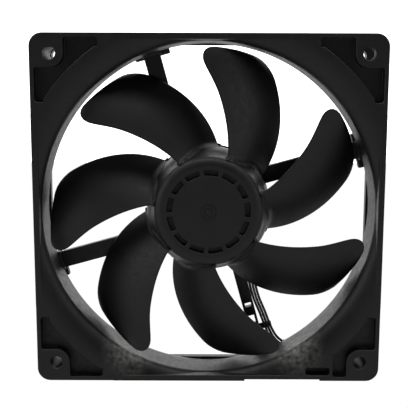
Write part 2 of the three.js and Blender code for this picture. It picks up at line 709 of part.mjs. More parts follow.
/** One crimped contact inside the plug. */
function plugContact(k) {
  const y = CONTACT_PITCH * k;
  const start = -PLUG_SIZE[0] + SOCKET_START + 0.4;
  const low = [start, y - CONTACT_HALF, SOCKET_FLOOR + CONTACT_SIDE_GAP];
  const contact = block(low, [CONTACT_END, y + CONTACT_HALF, SOCKET_ROOF - CONTACT_SIDE_GAP]);
  return turn(contact, PLUG_TURN).translate([...PLUG_FRONT, PLUG_BOTTOM]);
}

const BLACK_PLASTIC = { color: 0x1f201f, roughness: 0.5, metalness: 0 };
const HUB_PLASTIC = { color: 0x222322, roughness: 0.48, metalness: 0 };
const STEEL = { color: 0xb9bbbd, roughness: 0.28, metalness: 1 };
const DARK_STEEL = { color: 0x6f7275, roughness: 0.4, metalness: 1 };
const BRASS = { color: 0xb6924a, roughness: 0.3, metalness: 1 };
const COPPER = { color: 0xb0653a, roughness: 0.35, metalness: 1 };
const FERRITE = { color: 0x2f2f30, roughness: 0.7, metalness: 0 };
const WHITE_NYLON = { color: 0xe2dfd4, roughness: 0.5, metalness: 0 };
const GREEN_BOARD = { color: 0x1f5a35, roughness: 0.4, metalness: 0 };
const CHIP = { color: 0x151515, roughness: 0.5, metalness: 0 };
const BLACK_VINYL = { color: 0x171717, roughness: 0.45, metalness: 0 };
const RUBBER = { color: 0x1b1b1b, roughness: 0.7, metalness: 0 };
const SILVER_LABEL = { color: 0x9a9c9d, roughness: 0.4, metalness: 0.6 };

const fan = new THREE.Group();
fan.rotation.x = Math.PI / 2;
fan.position.set(0, DEPTH / 2, HALF);
const lead = new THREE.Group();

/** Adds one named piece to a group. */
function piece(group, name, body, look) {
  const mesh = new THREE.Mesh(geometryOf(body), new THREE.MeshStandardMaterial(look));
  mesh.name = name;
  group.add(mesh);
}

/** Adds the frame and the motor pieces that stand still. */
function addFixedPieces() {
  piece(fan, 'fan_frame', fanFrame(), BLACK_PLASTIC);
  piece(fan, 'motor_label', disc(LABEL_RADIUS, LABEL_REAR_Z, LABEL_RECESS - GAP, 28), SILVER_LABEL);
  piece(fan, 'stator_core', statorPlate(STACK_REAR_Z, STACK_FRONT_Z), DARK_STEEL);
  piece(fan, 'insulator_rear', statorPlate(STACK_REAR_Z - 1, STACK_REAR_Z - GAP), WHITE_NYLON);
  piece(fan, 'insulator_front', statorPlate(STACK_FRONT_Z + GAP, STACK_FRONT_Z + 1), WHITE_NYLON);
  for (let k = 0; k < POLES; k += 1) piece(fan, `pole_coil_${k + 1}`, poleCoil(k), COPPER);
  piece(fan, 'circuit_board', circuitBoard(), GREEN_BOARD);
  piece(fan, 'driver_chip', boardPart([0, 13.2], [5, 4], 6.2), CHIP);
  piece(fan, 'hall_sensor', boardPart([15.4, 0], [3, 3.6], 5.9), CHIP);
  piece(fan, 'filter_capacitor', boardPart([0, -14], [3.2, 2.4], 6.1), WHITE_NYLON);
  piece(fan, 'flyback_diode', boardPart([-14.6, 0], [2.4, 4], 6), CHIP);
  piece(fan, 'bearing_rear', ring(BEARING_BORE, BEARING_RADIUS, 3.75, 7.9, 18), STEEL);
  piece(fan, 'bearing_front', ring(BEARING_BORE, BEARING_RADIUS, 13, 17.1, 18), STEEL);
  piece(fan, 'preload_spring', preloadSpring(), STEEL);
}

/** Adds the pieces that turn together. */
function addTurningPieces() {
  piece(fan, 'impeller', impeller(), HUB_PLASTIC);
  piece(fan, 'rotor_yoke', rotorYoke(), DARK_STEEL);
  piece(fan, 'ring_magnet', ring(17.8, 19.6, 5.5, 17.5, 36), FERRITE);
  piece(fan, 'rotor_shaft', shaft(), STEEL);
  piece(fan, 'shaft_boss', ring(BEARING_BORE, 4, 18.1, 21.1, 18), BRASS);
  piece(fan, 'thrust_washer', ring(BEARING_BORE, 3.6, 17.4, 17.8, 18), WHITE_NYLON);
  piece(fan, 'retaining_clip', retainingClip(), STEEL);
}

/** Adds the wires, the free lead and its plug. */
function addLead() {
  piece(fan, 'wire_header', wireHeader(), WHITE_NYLON);
  for (let k = -1; k <= 1; k += 1) {
    const wire = cordAlong(besideRoute(WIRE_ROUTE, WIRE_PITCH * k), WIRE_DIAMETER, 8, 14);
    piece(fan, `lead_wire_${k + 2}`, wire, BLACK_VINYL);
  }
  piece(fan, 'lead_grommet', grommet(), RUBBER);
  piece(lead, 'lead_tail', cordAlong(LEAD_ROUTE, LEAD_DIAMETER, 8, 8), BLACK_VINYL);
  piece(lead, 'lead_coil', leadCoil(), BLACK_VINYL);
  piece(lead, 'lead_end', cordAlong(LEAD_END_ROUTE, LEAD_DIAMETER, 8, 4), BLACK_VINYL);
  piece(lead, 'plug_housing', plugHousing(), BLACK_PLASTIC);
  for (let k = -1; k <= 1; k += 1) piece(lead, `plug_contact_${k + 2}`, plugContact(k), BRASS);
}

addFixedPieces();
addTurningPieces();
addLead();

const object = new THREE.Group();
object.add(fan, lead);
export default object;
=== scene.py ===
"""Looks of a 140 mm case fan: moulded frame, seven-blade impeller, motor and three-wire lead.

The fan's own pieces are modelled in millimetres in the fan frame, whose x runs right, y up and
z forward from the rear face, with the impeller's axis as the z axis. A finished piece is put
into the room frame, in metres, with its place in its mesh.
"""

import logging
import math
from dataclasses import dataclass
from enum import Enum

import bmesh
import bpy
from mathutils import Matrix, Vector


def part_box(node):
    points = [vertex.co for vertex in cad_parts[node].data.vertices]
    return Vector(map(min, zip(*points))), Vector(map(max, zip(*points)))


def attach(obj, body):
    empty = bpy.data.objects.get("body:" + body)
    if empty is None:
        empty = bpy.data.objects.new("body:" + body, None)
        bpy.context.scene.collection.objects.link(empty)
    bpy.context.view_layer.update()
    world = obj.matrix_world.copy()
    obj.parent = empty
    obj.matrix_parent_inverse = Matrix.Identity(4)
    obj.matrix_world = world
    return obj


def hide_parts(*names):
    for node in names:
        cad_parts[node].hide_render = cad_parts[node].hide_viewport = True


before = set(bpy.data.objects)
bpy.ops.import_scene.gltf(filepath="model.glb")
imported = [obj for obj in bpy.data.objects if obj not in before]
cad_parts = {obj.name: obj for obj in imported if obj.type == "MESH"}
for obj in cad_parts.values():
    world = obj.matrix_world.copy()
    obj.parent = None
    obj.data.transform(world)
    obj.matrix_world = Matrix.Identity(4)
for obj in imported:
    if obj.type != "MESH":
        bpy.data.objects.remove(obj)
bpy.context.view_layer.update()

MM = 0.001
LOG = logging.getLogger("case_fan")

Point2 = tuple[float, float]
Point3 = tuple[float, float, float]
Colour = tuple[float, float, float]
RimSteps = list[tuple[float, float]]


class Operation(Enum):
    """What a tool solid does to a workpiece."""

    JOIN = "UNION"
    CUT = "DIFFERENCE"
    KEEP_COMMON = "INTERSECT"


class Corner(Enum):
    """A corner of the frame, as quarter turns from the top right."""

    TOP_RIGHT = 0
    TOP_LEFT = 1
    BOTTOM_LEFT = 2
    BOTTOM_RIGHT = 3


# Outlines and routes


def arc(centre: Point2, radius: float, start: float, end: float, steps: int) -> list[Point2]:
    """Points of an arc.

    Args:
        centre: the arc's centre.
        radius: its radius.
        start: the angle of its first point, in degrees.
        end: the angle of its last point, in degrees.
        steps: how many straight stretches it has.

    Returns:
        The points, both ends included.
    """
    angles = [math.radians(start + (end - start) * i / steps) for i in range(steps + 1)]
    return [(centre[0] + radius * math.cos(a), centre[1] + radius * math.sin(a)) for a in angles]


def rounded_box(half_width: float, half_height: float, radius: float, steps: int = 4) -> list[Point2]:
    """Outline of a rectangle with rounded corners, centred on the origin.

    Args:
        half_width: half its size along x.
        half_height: half its size along y.
        radius: the corners' radius.
        steps: straight stretches in each corner.

    Returns:
        The outline, anticlockwise.
    """
    x, y = half_width - radius, half_height - radius
    outline: list[Point2] = []
    for k, centre in enumerate([(x, y), (-x, y), (-x, -y), (x, -y)]):
        outline += arc(centre, radius, 90 * k, 90 * k + 90, steps)
    return outline


def eased(points: list[tuple[float, ...]], steps: int) -> list[tuple[float, ...]]:
    """A smooth line through some points.

    Args:
        points: the points it passes through, in two or three dimensions.
        steps: straight stretches between one point and the next.

    Returns:
        The line's points, both ends included.
    """
    ends = [Vector(points[0]), *map(Vector, points), Vector(points[-1])]
    line = []
    for a, b, c, d in zip(ends, ends[1:], ends[2:], ends[3:]):
        for i in range(steps):
            t = i / steps
            bend = (2 * a - 5 * b + 4 * c - d) * t**2 + (3 * b - a - 3 * c + d) * t**3
            line.append(tuple(b + 0.5 * ((c - a) * t + bend)))
    return [*line, tuple(points[-1])]


def smooth_step(t: float) -> float:
    """A soft step from 0 to 1 as t goes from 0 to 1."""
    t = min(1.0, max(0.0, t))
    return t * t * (3 - 2 * t)


# Solids


def rounded_rim(radius: float, steps: int = 3) -> RimSteps:
    """Inset and rise of each step of a quarter-round rim."""
    turns = [math.pi / 2 * i / steps for i in range(steps + 1)]
    line = [(radius * (1 - math.cos(t)), radius * math.sin(t)) for t in turns]
    return [(b[0] - a[0], b[1] - a[1]) for a, b in zip(line, line[1:])]


def flared_rim(width: float, beyond: float = 1.0) -> RimSteps:
    """Inset and rise of a tool's rim that leaves a small chamfer and then runs on."""
    return [(-width, width), (0.0, beyond)]


def new_verts(made: list) -> list[bmesh.types.BMVert]:
    """The vertices among what an operator made."""
    return [item for item in made if isinstance(item, bmesh.types.BMVert)]


def prism(
    outline: list[Point2], rear: float, front: float, rear_rim: RimSteps = (), front_rim: RimSteps = ()
) -> bmesh.types.BMesh:
    """An outline made thick along z, with its rims stepped in or out.

    Args:
        outline: the anticlockwise outline at its full size.
        rear: z of the rear face.
        front: z of the front face.
        rear_rim: inset and rise of each step towards the rear face.
        front_rim: inset and rise of each step towards the front face.

    Returns:
        The closed solid.
    """
    low = rear + sum(rise for _, rise in rear_rim)
    high = front - sum(rise for _, rise in front_rim)
    solid = bmesh.new()
    rear_face = solid.faces.new([solid.verts.new((x, y, low)) for x, y in outline])
    made = bmesh.ops.extrude_face_region(solid, geom=[rear_face])["geom"]
    front_face = next(item for item in made if isinstance(item, bmesh.types.BMFace))
    bmesh.ops.translate(solid, verts=new_verts(made), vec=(0, 0, high - low))
    bmesh.ops.recalc_face_normals(solid, faces=solid.faces)
    for face, rim in ((rear_face, rear_rim), (front_face, front_rim)):
        for inset, rise in rim:
            bmesh.ops.inset_individual(
                solid, faces=[face], thickness=inset, depth=rise, use_even_offset=True
            )
    return solid


def turned(profile: list[Point2], steps: int, closed: bool = False) -> bmesh.types.BMesh:
    """A solid of revolution about z.

    Args:
        profile: radius and height pairs, from the axis back to the axis unless closed.
        steps: how many flats the full turn has.
        closed: whether the profile closes on itself, as a ring's does.

    Returns:
        The closed solid.
    """
    solid = bmesh.new()
    verts = [solid.verts.new((radius, 0, height)) for radius, height in profile]
    pairs = list(zip(verts, verts[1:])) + ([(verts[-1], verts[0])] if closed else [])
    edges = [solid.edges.new(pair) for pair in pairs]
    bmesh.ops.spin(
        solid, geom=verts + edges, cent=(0, 0, 0), axis=(0, 0, 1), dvec=(0, 0, 0),
        angle=2 * math.pi, steps=steps, use_merge=True,
    )
    bmesh.ops.remove_doubles(solid, verts=solid.verts, dist=1e-4)
    bmesh.ops.recalc_face_normals(solid, faces=solid.faces)
    return solid


def block(low: Point3, high: Point3, rounding: float = 0.0) -> bmesh.types.BMesh:
    """A box between two corners.

    Args:
        low: its lowest corner.
        high: its highest corner.
        rounding: the radius of its edges.

    Returns:
        The closed solid.
    """
    solid = bmesh.new()
    middle = (Vector(low) + Vector(high)) / 2
    size = Vector(high) - Vector(low)
    place = Matrix.Translation(middle) @ Matrix.Diagonal((*size, 1))
    bmesh.ops.create_cube(solid, size=1, matrix=place)
    if rounding:
        bmesh.ops.bevel(
            solid, geom=solid.edges[:], offset=rounding, offset_type="OFFSET", segments=2,
            profile=0.5, affect="EDGES", material=-1, clamp_overlap=True,
        )
    return solid


def swung(solid: bmesh.types.BMesh, degrees: float, move: Point3 = (0, 0, 0)) -> bmesh.types.BMesh:
    """The solid turned about z and then moved."""
    place = Matrix.Translation(move) @ Matrix.Rotation(math.radians(degrees), 4, "Z")
    bmesh.ops.transform(solid, matrix=place, verts=solid.verts)
    return solid


def gathered(solids: list[bmesh.types.BMesh]) -> bmesh.types.BMesh:
    """Solids that stay clear of each other, as one mesh."""
    whole = bmesh.new()
    for solid in solids:
        part = bpy.data.meshes.new("part")
        solid.to_mesh(part)
        solid.free()
        whole.from_mesh(part)
        bpy.data.meshes.remove(part)
    return whole


def fan_place() -> Matrix:
    """From the fan frame in millimetres to the room frame in metres."""
    low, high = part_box("fan_frame")
    middle = (low + high) / 2
    rear_centre = Matrix.Translation((middle.x, high.y, middle.z))
    return rear_centre @ Matrix.Rotation(math.pi / 2, 4, "X") @ Matrix.Scale(MM, 4)


def room_place() -> Matrix:
    """From millimetres to metres in the room frame."""
    return Matrix.Scale(MM, 4)


class Workpiece:
    """A mesh that tools are joined to or cut from, in millimetres."""

    def __init__(self, name: str, solid: bmesh.types.BMesh) -> None:
        """Starts the workpiece from a solid."""
        self.object = self.held(name, solid)

    @staticmethod
    def held(name: str, solid: bmesh.types.BMesh) -> bpy.types.Object:
        """A scene object that holds a solid, which is freed."""
        mesh = bpy.data.meshes.new(name)
        solid.to_mesh(mesh)
        solid.free()
        made = bpy.data.objects.new(name, mesh)
        bpy.context.scene.collection.objects.link(made)
        return made

    def work(self, operation: Operation, solid: bmesh.types.BMesh) -> "Workpiece":
        """Joins a solid, cuts it away or keeps only what is common.

        Args:
            operation: what the solid does.
            solid: the tool, which is freed.

        Returns:
            The workpiece itself.
        """
        tool = self.held("tool", solid)
        modifier = self.object.modifiers.new("work", "BOOLEAN")
        modifier.operation = operation.value
        modifier.solver = "EXACT"
        modifier.object = tool
        depsgraph = bpy.context.evaluated_depsgraph_get()
        worked = bpy.data.meshes.new_from_object(self.object.evaluated_get(depsgraph))
        self.object.modifiers.clear()
        before, self.object.data = self.object.data, worked
        for mesh in (before, tool.data):
            bpy.data.meshes.remove(mesh)
        return self

    def join(self, solid: bmesh.types.BMesh) -> "Workpiece":
        """Joins a solid."""
        return self.work(Operation.JOIN, solid)

    def cut(self, solid: bmesh.types.BMesh) -> "Workpiece":
        """Cuts a solid away."""
        return self.work(Operation.CUT, solid)

    def keep_common(self, solid: bmesh.types.BMesh) -> "Workpiece":
        """Keeps only what lies inside a solid."""
        return self.work(Operation.KEEP_COMMON, solid)

    def released(self) -> bmesh.types.BMesh:
        """The workpiece as a solid again, its object gone."""
        solid = bmesh.new()
        solid.from_mesh(self.object.data)
        bpy.data.meshes.remove(self.object.data)
        return solid

    def finished(self, place: Matrix, sharp_over: float = 32.0) -> bpy.types.Object:
        """The piece cleaned, put in its place and shaded.

        Args:
            place: the transform into the room frame.
            sharp_over: the angle in degrees past which an edge stays sharp.

        Returns:
            The finished object.
        """
        solid = bmesh.new()
        solid.from_mesh(self.object.data)
        bmesh.ops.remove_doubles(solid, verts=solid.verts, dist=2e-4)
        bmesh.ops.dissolve_degenerate(solid, edges=solid.edges, dist=1e-4)
        bmesh.ops.transform(solid, matrix=place, verts=solid.verts)
        solid.to_mesh(self.object.data)
        solid.free()
        mesh = self.object.data
        mesh.polygons.foreach_set("use_smooth", [True] * len(mesh.polygons))
        mesh.set_sharp_from_angle(angle=math.radians(sharp_over))
        normals = self.object.modifiers.new("even_normals", "WEIGHTED_NORMAL")
        normals.keep_sharp = True
        return self.object


# Finishes


class NodeSheet:
    """A material's nodes, with short calls to add and join them."""

    def __init__(self, name: str) -> None:
        """Starts a material of that name with its Principled shader."""
        self.material = bpy.data.materials.new(name)
        self.material.use_nodes = True
        self.tree = self.material.node_tree
        self.shader = next(n for n in self.tree.nodes if n.type == "BSDF_PRINCIPLED")
        self.place = self.tree.nodes.new("ShaderNodeTexCoord").outputs["Object"]

    def set(self, **values: float | tuple[float, ...]) -> None:
        """Sets the shader's own sockets, with _ for the spaces in their names."""
        for name, value in values.items():
            self.shader.inputs[name.replace("_", " ")].default_value = value

    def noise(self, size: float, detail: float = 2.0, stretch: Point3 = (1, 1, 1)) -> bpy.types.NodeSocket:
        """Noise over the piece.

        Args:
            size: how far apart its blotches are, in millimetres.
            detail: how many finer layers it has.
            stretch: how its frequency differs along each axis.

        Returns:
            The socket of its value.
        """
        mapping = self.tree.nodes.new("ShaderNodeMapping")
        mapping.inputs["Scale"].default_value = stretch
        self.tree.links.new(self.place, mapping.inputs["Vector"])
        node = self.tree.nodes.new("ShaderNodeTexNoise")
        node.inputs["Scale"].default_value = 1 / (size * MM)
        node.inputs["Detail"].default_value = detail
        self.tree.links.new(mapping.outputs["Vector"], node.inputs["Vector"])
        return node.outputs["Fac"]

    def specks(self, spacing: float, radius: float) -> bpy.types.NodeSocket:
        """Small round specks, as a value from 0 to 1.

        Args:
            spacing: how far apart they are, in millimetres.
            radius: their radius as a share of the spacing.

        Returns:
            The socket of the value.
        """
        node = self.tree.nodes.new("ShaderNodeTexVoronoi")
        node.inputs["Scale"].default_value = 1 / (spacing * MM)
        self.tree.links.new(self.place, node.inputs["Vector"])
        return self.ranged(node.outputs["Distance"], (radius, 0.0), (0.0, 1.0))

    def near(self, spot: Point3, reach: float) -> bpy.types.NodeSocket:
        """A value that falls from 1 at a spot to 0 at a distance from it, both in millimetres."""
        node = self.tree.nodes.new("ShaderNodeVectorMath")
        node.operation = "DISTANCE"
        node.inputs[1].default_value = [part * MM for part in spot]
        self.tree.links.new(self.place, node.inputs[0])
        return self.ranged(node.outputs["Value"], (0.0, reach * MM), (1.0, 0.0))

    def product(self, first: bpy.types.NodeSocket, second: bpy.types.NodeSocket) -> bpy.types.NodeSocket:
        """Two values multiplied."""
        node = self.tree.nodes.new("ShaderNodeMath")
        node.operation = "MULTIPLY"
        self.tree.links.new(first, node.inputs[0])
        self.tree.links.new(second, node.inputs[1])
        return node.outputs["Value"]

    def ranged(self, value: bpy.types.NodeSocket, source: Point2, target: Point2) -> bpy.types.NodeSocket:
        """A value mapped from one range to another, and kept in it."""
        node = self.tree.nodes.new("ShaderNodeMapRange")
        limits = ("From Min", "From Max", "To Min", "To Max")
        for name, limit in zip(limits, (*source, *target)):
            node.inputs[name].default_value = limit
        self.tree.links.new(value, node.inputs["Value"])
        return node.outputs["Result"]

    def blended(self, value: bpy.types.NodeSocket, low: Colour, high: Colour) -> bpy.types.NodeSocket:
        """A colour between two, by a value from 0 to 1."""
        node = self.tree.nodes.new("ShaderNodeValToRGB")
        node.color_ramp.elements[0].color = (*low, 1)
        node.color_ramp.elements[1].color = (*high, 1)
        self.tree.links.new(value, node.inputs["Fac"])
        return node.outputs["Color"]

    def overlaid(
        self, value: bpy.types.NodeSocket, below: bpy.types.NodeSocket, over: Colour
    ) -> bpy.types.NodeSocket:
        """A colour laid over another one where a value is high."""
        node = self.tree.nodes.new("ShaderNodeMix")
        node.data_type = "RGBA"
        colours = [socket for socket in node.inputs if socket.type == "RGBA"]
        self.tree.links.new(value, node.inputs["Factor"])
        self.tree.links.new(below, colours[0])
        colours[1].default_value = (*over, 1)
        return next(socket for socket in node.outputs if socket.type == "RGBA")

    def feed(self, value: bpy.types.NodeSocket, name: str) -> None:
        """Joins a value to one of the shader's sockets."""
        self.tree.links.new(value, self.shader.inputs[name])

    def bumped(self, layers: list[tuple[bpy.types.NodeSocket, float, float]]) -> None:
        """Raises the surface by some layers.

        Args:
            layers: each one's height, its depth in millimetres and its strength.
        """
        before = None
        for height, depth, strength in layers:
            node = self.tree.nodes.new("ShaderNodeBump")
            node.inputs["Strength"].default_value = strength
            node.inputs["Distance"].default_value = depth * MM
            self.tree.links.new(height, node.inputs["Height"])
            if before:
                self.tree.links.new(before, node.inputs["Normal"])
            before = node.outputs["Normal"]
        self.feed(before, "Normal")


@dataclass(frozen=True)
class MouldedPlastic:
    """Injection-moulded plastic with a fine spark-eroded grain, faint flow marks, dust specks and, where spots are
    given, painted highlight patches.
    """

    name: str
    dark: Colour
    light: Colour
    roughness: float = 0.45
    specular: float = 0.22
    grain: float = 0.28
    grain_strength: float = 0.35
    flow: Point3 = (1, 1, 1)
    dust: Colour = (0.035, 0.038, 0.035)
    # Colour, spots and reach of the painted highlight: a lighter mottled colour that stands in for a light's
    # reflection
    painted_highlight_colour: Colour = (0.15, 0.155, 0.145)
    painted_highlight_spots: tuple[Point3, ...] = ()
    painted_highlight_reach: float = 12.0

    def material(self) -> bpy.types.Material:
        """The finish as a material."""
        sheet = NodeSheet(self.name)
        sheet.set(Specular_IOR_Level=self.specular)
        flow = sheet.noise(9, 5, self.flow)
        tint = sheet.blended(sheet.ranged(flow, (0.3, 0.7), (0, 1)), self.dark, self.light)
        dust = sheet.specks(2.6, 0.035)
        colour = sheet.overlaid(dust, tint, self.dust)
        # Painted highlight: a light, noise-mottled colour laid near each spot in place of the light's reflection
        for spot in self.painted_highlight_spots:
            film = sheet.ranged(sheet.noise(1.8, 5), (0.30, 0.68), (0, 1))
            painted_highlight_patch = sheet.product(sheet.near(spot, self.painted_highlight_reach), film)
            colour = sheet.overlaid(painted_highlight_patch, colour, self.painted_highlight_colour)
        sheet.feed(colour, "Base Color")
        mottle = sheet.noise(1.7, 4)
        spread = (self.roughness - 0.06, self.roughness + 0.08)
        sheet.feed(sheet.ranged(mottle, (0.3, 0.7), spread), "Roughness")
        grain = sheet.noise(self.grain, 3)
        waves = sheet.noise(7, 2, self.flow)
        sheet.bumped([(waves, 0.05, 0.25), (grain, 0.02, self.grain_strength)])
        return sheet.material


@dataclass(frozen=True)
class Metal:
    """Turned, stamped or plated metal with fine tool marks and a little tarnish."""

    name: str
    colour: Colour
    tarnish: Colour
    roughness: float = 0.28
    marks: Point3 = (1, 1, 14)

    def material(self) -> bpy.types.Material:
        """The finish as a material."""
        sheet = NodeSheet(self.name)
        sheet.set(Metallic=1.0)
        patches = sheet.ranged(sheet.noise(2.4, 5), (0.35, 0.75), (0, 1))
        sheet.feed(sheet.blended(patches, self.colour, self.tarnish), "Base Color")
        marks = sheet.noise(0.6, 3, self.marks)
        spread = (self.roughness - 0.06, self.roughness + 0.12)
        sheet.feed(sheet.ranged(marks, (0.3, 0.7), spread), "Roughness")
        sheet.bumped([(marks, 0.01, 0.3)])
        return sheet.material


@dataclass(frozen=True)
class SoftSkin:
    """Vinyl or rubber: a dark skin with faint drawing marks."""

    name: str
    dark: Colour
    light: Colour
    roughness: float
    sheen: float = 0.0

    def material(self) -> bpy.types.Material:
        """The finish as a material."""
        sheet = NodeSheet(self.name)
        sheet.set(Sheen_Weight=self.sheen)
        bloom = sheet.ranged(sheet.noise(1.4, 4), (0.35, 0.7), (0, 1))
        sheet.feed(sheet.blended(bloom, self.dark, self.light), "Base Color")
        sheet.feed(sheet.ranged(bloom, (0, 1), (self.roughness - 0.05, self.roughness + 0.1)), "Roughness")
        sheet.bumped([(sheet.noise(0.35, 3), 0.015, 0.3)])
        return sheet.material


@dataclass(frozen=True)
class Winding:
    """Enamelled wire wound in close turns about the fan's axis direction."""

    name: str
    colour: Colour
    # Colour of the grooves between turns, darker as painted shade
    groove: Colour
    pitch: float = 0.32

    def material(self) -> bpy.types.Material:
        """The finish as a material."""
        sheet = NodeSheet(self.name)
        sheet.set(Metallic=0.85, Coat_Weight=0.6, Coat_Roughness=0.2, Roughness=0.32)
        bands = sheet.tree.nodes.new("ShaderNodeTexWave")
        bands.bands_direction = "DIAGONAL"
        bands.inputs["Scale"].default_value = 1 / (self.pitch * MM * 2 * math.pi)
        sheet.tree.links.new(sheet.place, bands.inputs["Vector"])
        # The grooves between turns are darker: painted shade in the creases, on top of the bump
        sheet.feed(sheet.blended(bands.outputs["Fac"], self.groove, self.colour), "Base Color")
        sheet.bumped([(bands.outputs["Fac"], 0.08, 0.7)])
        return sheet.material


@dataclass(frozen=True)
class Board:
    """Glass-fibre circuit board under solder mask, with raised copper runs."""

    name: str
    mask: Colour
    runs: Colour

    def material(self) -> bpy.types.Material:
        """The finish as a material."""
        sheet = NodeSheet(self.name)
        sheet.set(Roughness=0.32, Coat_Weight=0.3)
        cells = sheet.tree.nodes.new("ShaderNodeTexVoronoi")
        cells.feature = "DISTANCE_TO_EDGE"
        cells.inputs["Scale"].default_value = 1 / (4.2 * MM)
        sheet.tree.links.new(sheet.place, cells.inputs["Vector"])
        runs = sheet.ranged(cells.outputs["Distance"], (0.05, 0.09), (1, 0))
        sheet.feed(sheet.blended(runs, self.mask, self.runs), "Base Color")
        weave = sheet.noise(0.4, 1)
        sheet.bumped([(runs, 0.04, 0.8), (weave, 0.01, 0.2)])
        return sheet.material


@dataclass(frozen=True)
class PlainWhite:
    """A white surface that gives off its own even light, for the floor and the backdrop."""

    name: str
    strength: float

    def material(self) -> bpy.types.Material:
        """The finish as a material."""
        sheet = NodeSheet(self.name)
        sheet.set(Base_Color=(0.0, 0.0, 0.0, 1), Roughness=1.0, Specular_IOR_Level=0.0)
        sheet.set(Emission_Color=(1, 1, 1, 1), Emission_Strength=self.strength)
        return sheet.material


class Finishes:
    """Every finish of the fan, each made once."""

    def __init__(self) -> None:
        """Makes the materials."""
        frame_black = MouldedPlastic(
            "frame_black", (0.0034, 0.0040, 0.0034), (0.0062, 0.0068, 0.0060),
            # Painted highlight on the lower bends of the inlet, where the light from above reflects
            painted_highlight_spots=((-33.0, -9.0, 12.0), (37.0, -9.0, 12.0)),
        )
        rotor_black = MouldedPlastic(
            "rotor_black", (0.0036, 0.0042, 0.0036), (0.0066, 0.0072, 0.0064), roughness=0.46
        )
        nylon = MouldedPlastic(
            "nylon_white", (0.66, 0.64, 0.57), (0.76, 0.74, 0.68), roughness=0.42, dust=(0.5, 0.48, 0.42)
        )
        package = MouldedPlastic("package_black", (0.012, 0.012, 0.012), (0.02, 0.02, 0.02), grain=0.12)
        plug = MouldedPlastic("plug_black", (0.010, 0.010, 0.010), (0.018, 0.018, 0.018), roughness=0.38)
        self.frame_black = frame_black.material()
        self.rotor_black = rotor_black.material()
        self.nylon = nylon.material()
        self.package = package.material()
        self.plug = plug.material()
        self.vinyl = SoftSkin("vinyl_black", (0.011, 0.011, 0.011), (0.019, 0.019, 0.019), 0.36).material()
        self.rubber = SoftSkin(
            "rubber_black", (0.012, 0.012, 0.012), (0.026, 0.026, 0.025), 0.68, sheen=0.2
        ).material()
        self.steel = Metal("steel_bright", (0.62, 0.62, 0.63), (0.47, 0.47, 0.48)).material()
        self.core_steel = Metal(
            "steel_core", (0.30, 0.31, 0.33), (0.20, 0.19, 0.18), roughness=0.4, marks=(1, 22, 1)
        ).material()
        self.brass = Metal("brass", (0.70, 0.50, 0.20), (0.45, 0.30, 0.13), roughness=0.25).material()
        self.film = Metal(
            "label_film", (0.40, 0.41, 0.42), (0.34, 0.345, 0.355), roughness=0.42, marks=(1, 1, 30)
        ).material()
        self.ferrite = SoftSkin("ferrite", (0.022, 0.021, 0.021), (0.040, 0.038, 0.037), 0.62).material()
        self.winding = Winding("copper_winding", (0.62, 0.24, 0.08), (0.10, 0.030, 0.012)).material()
        self.board = Board("circuit_board", (0.010, 0.075, 0.026), (0.030, 0.16, 0.055)).material()


def dress(piece: bpy.types.Object, material: bpy.types.Material) -> None:
    """Gives a piece its one material."""
    piece.data.materials.clear()
    piece.data.materials.append(material)


# Studio


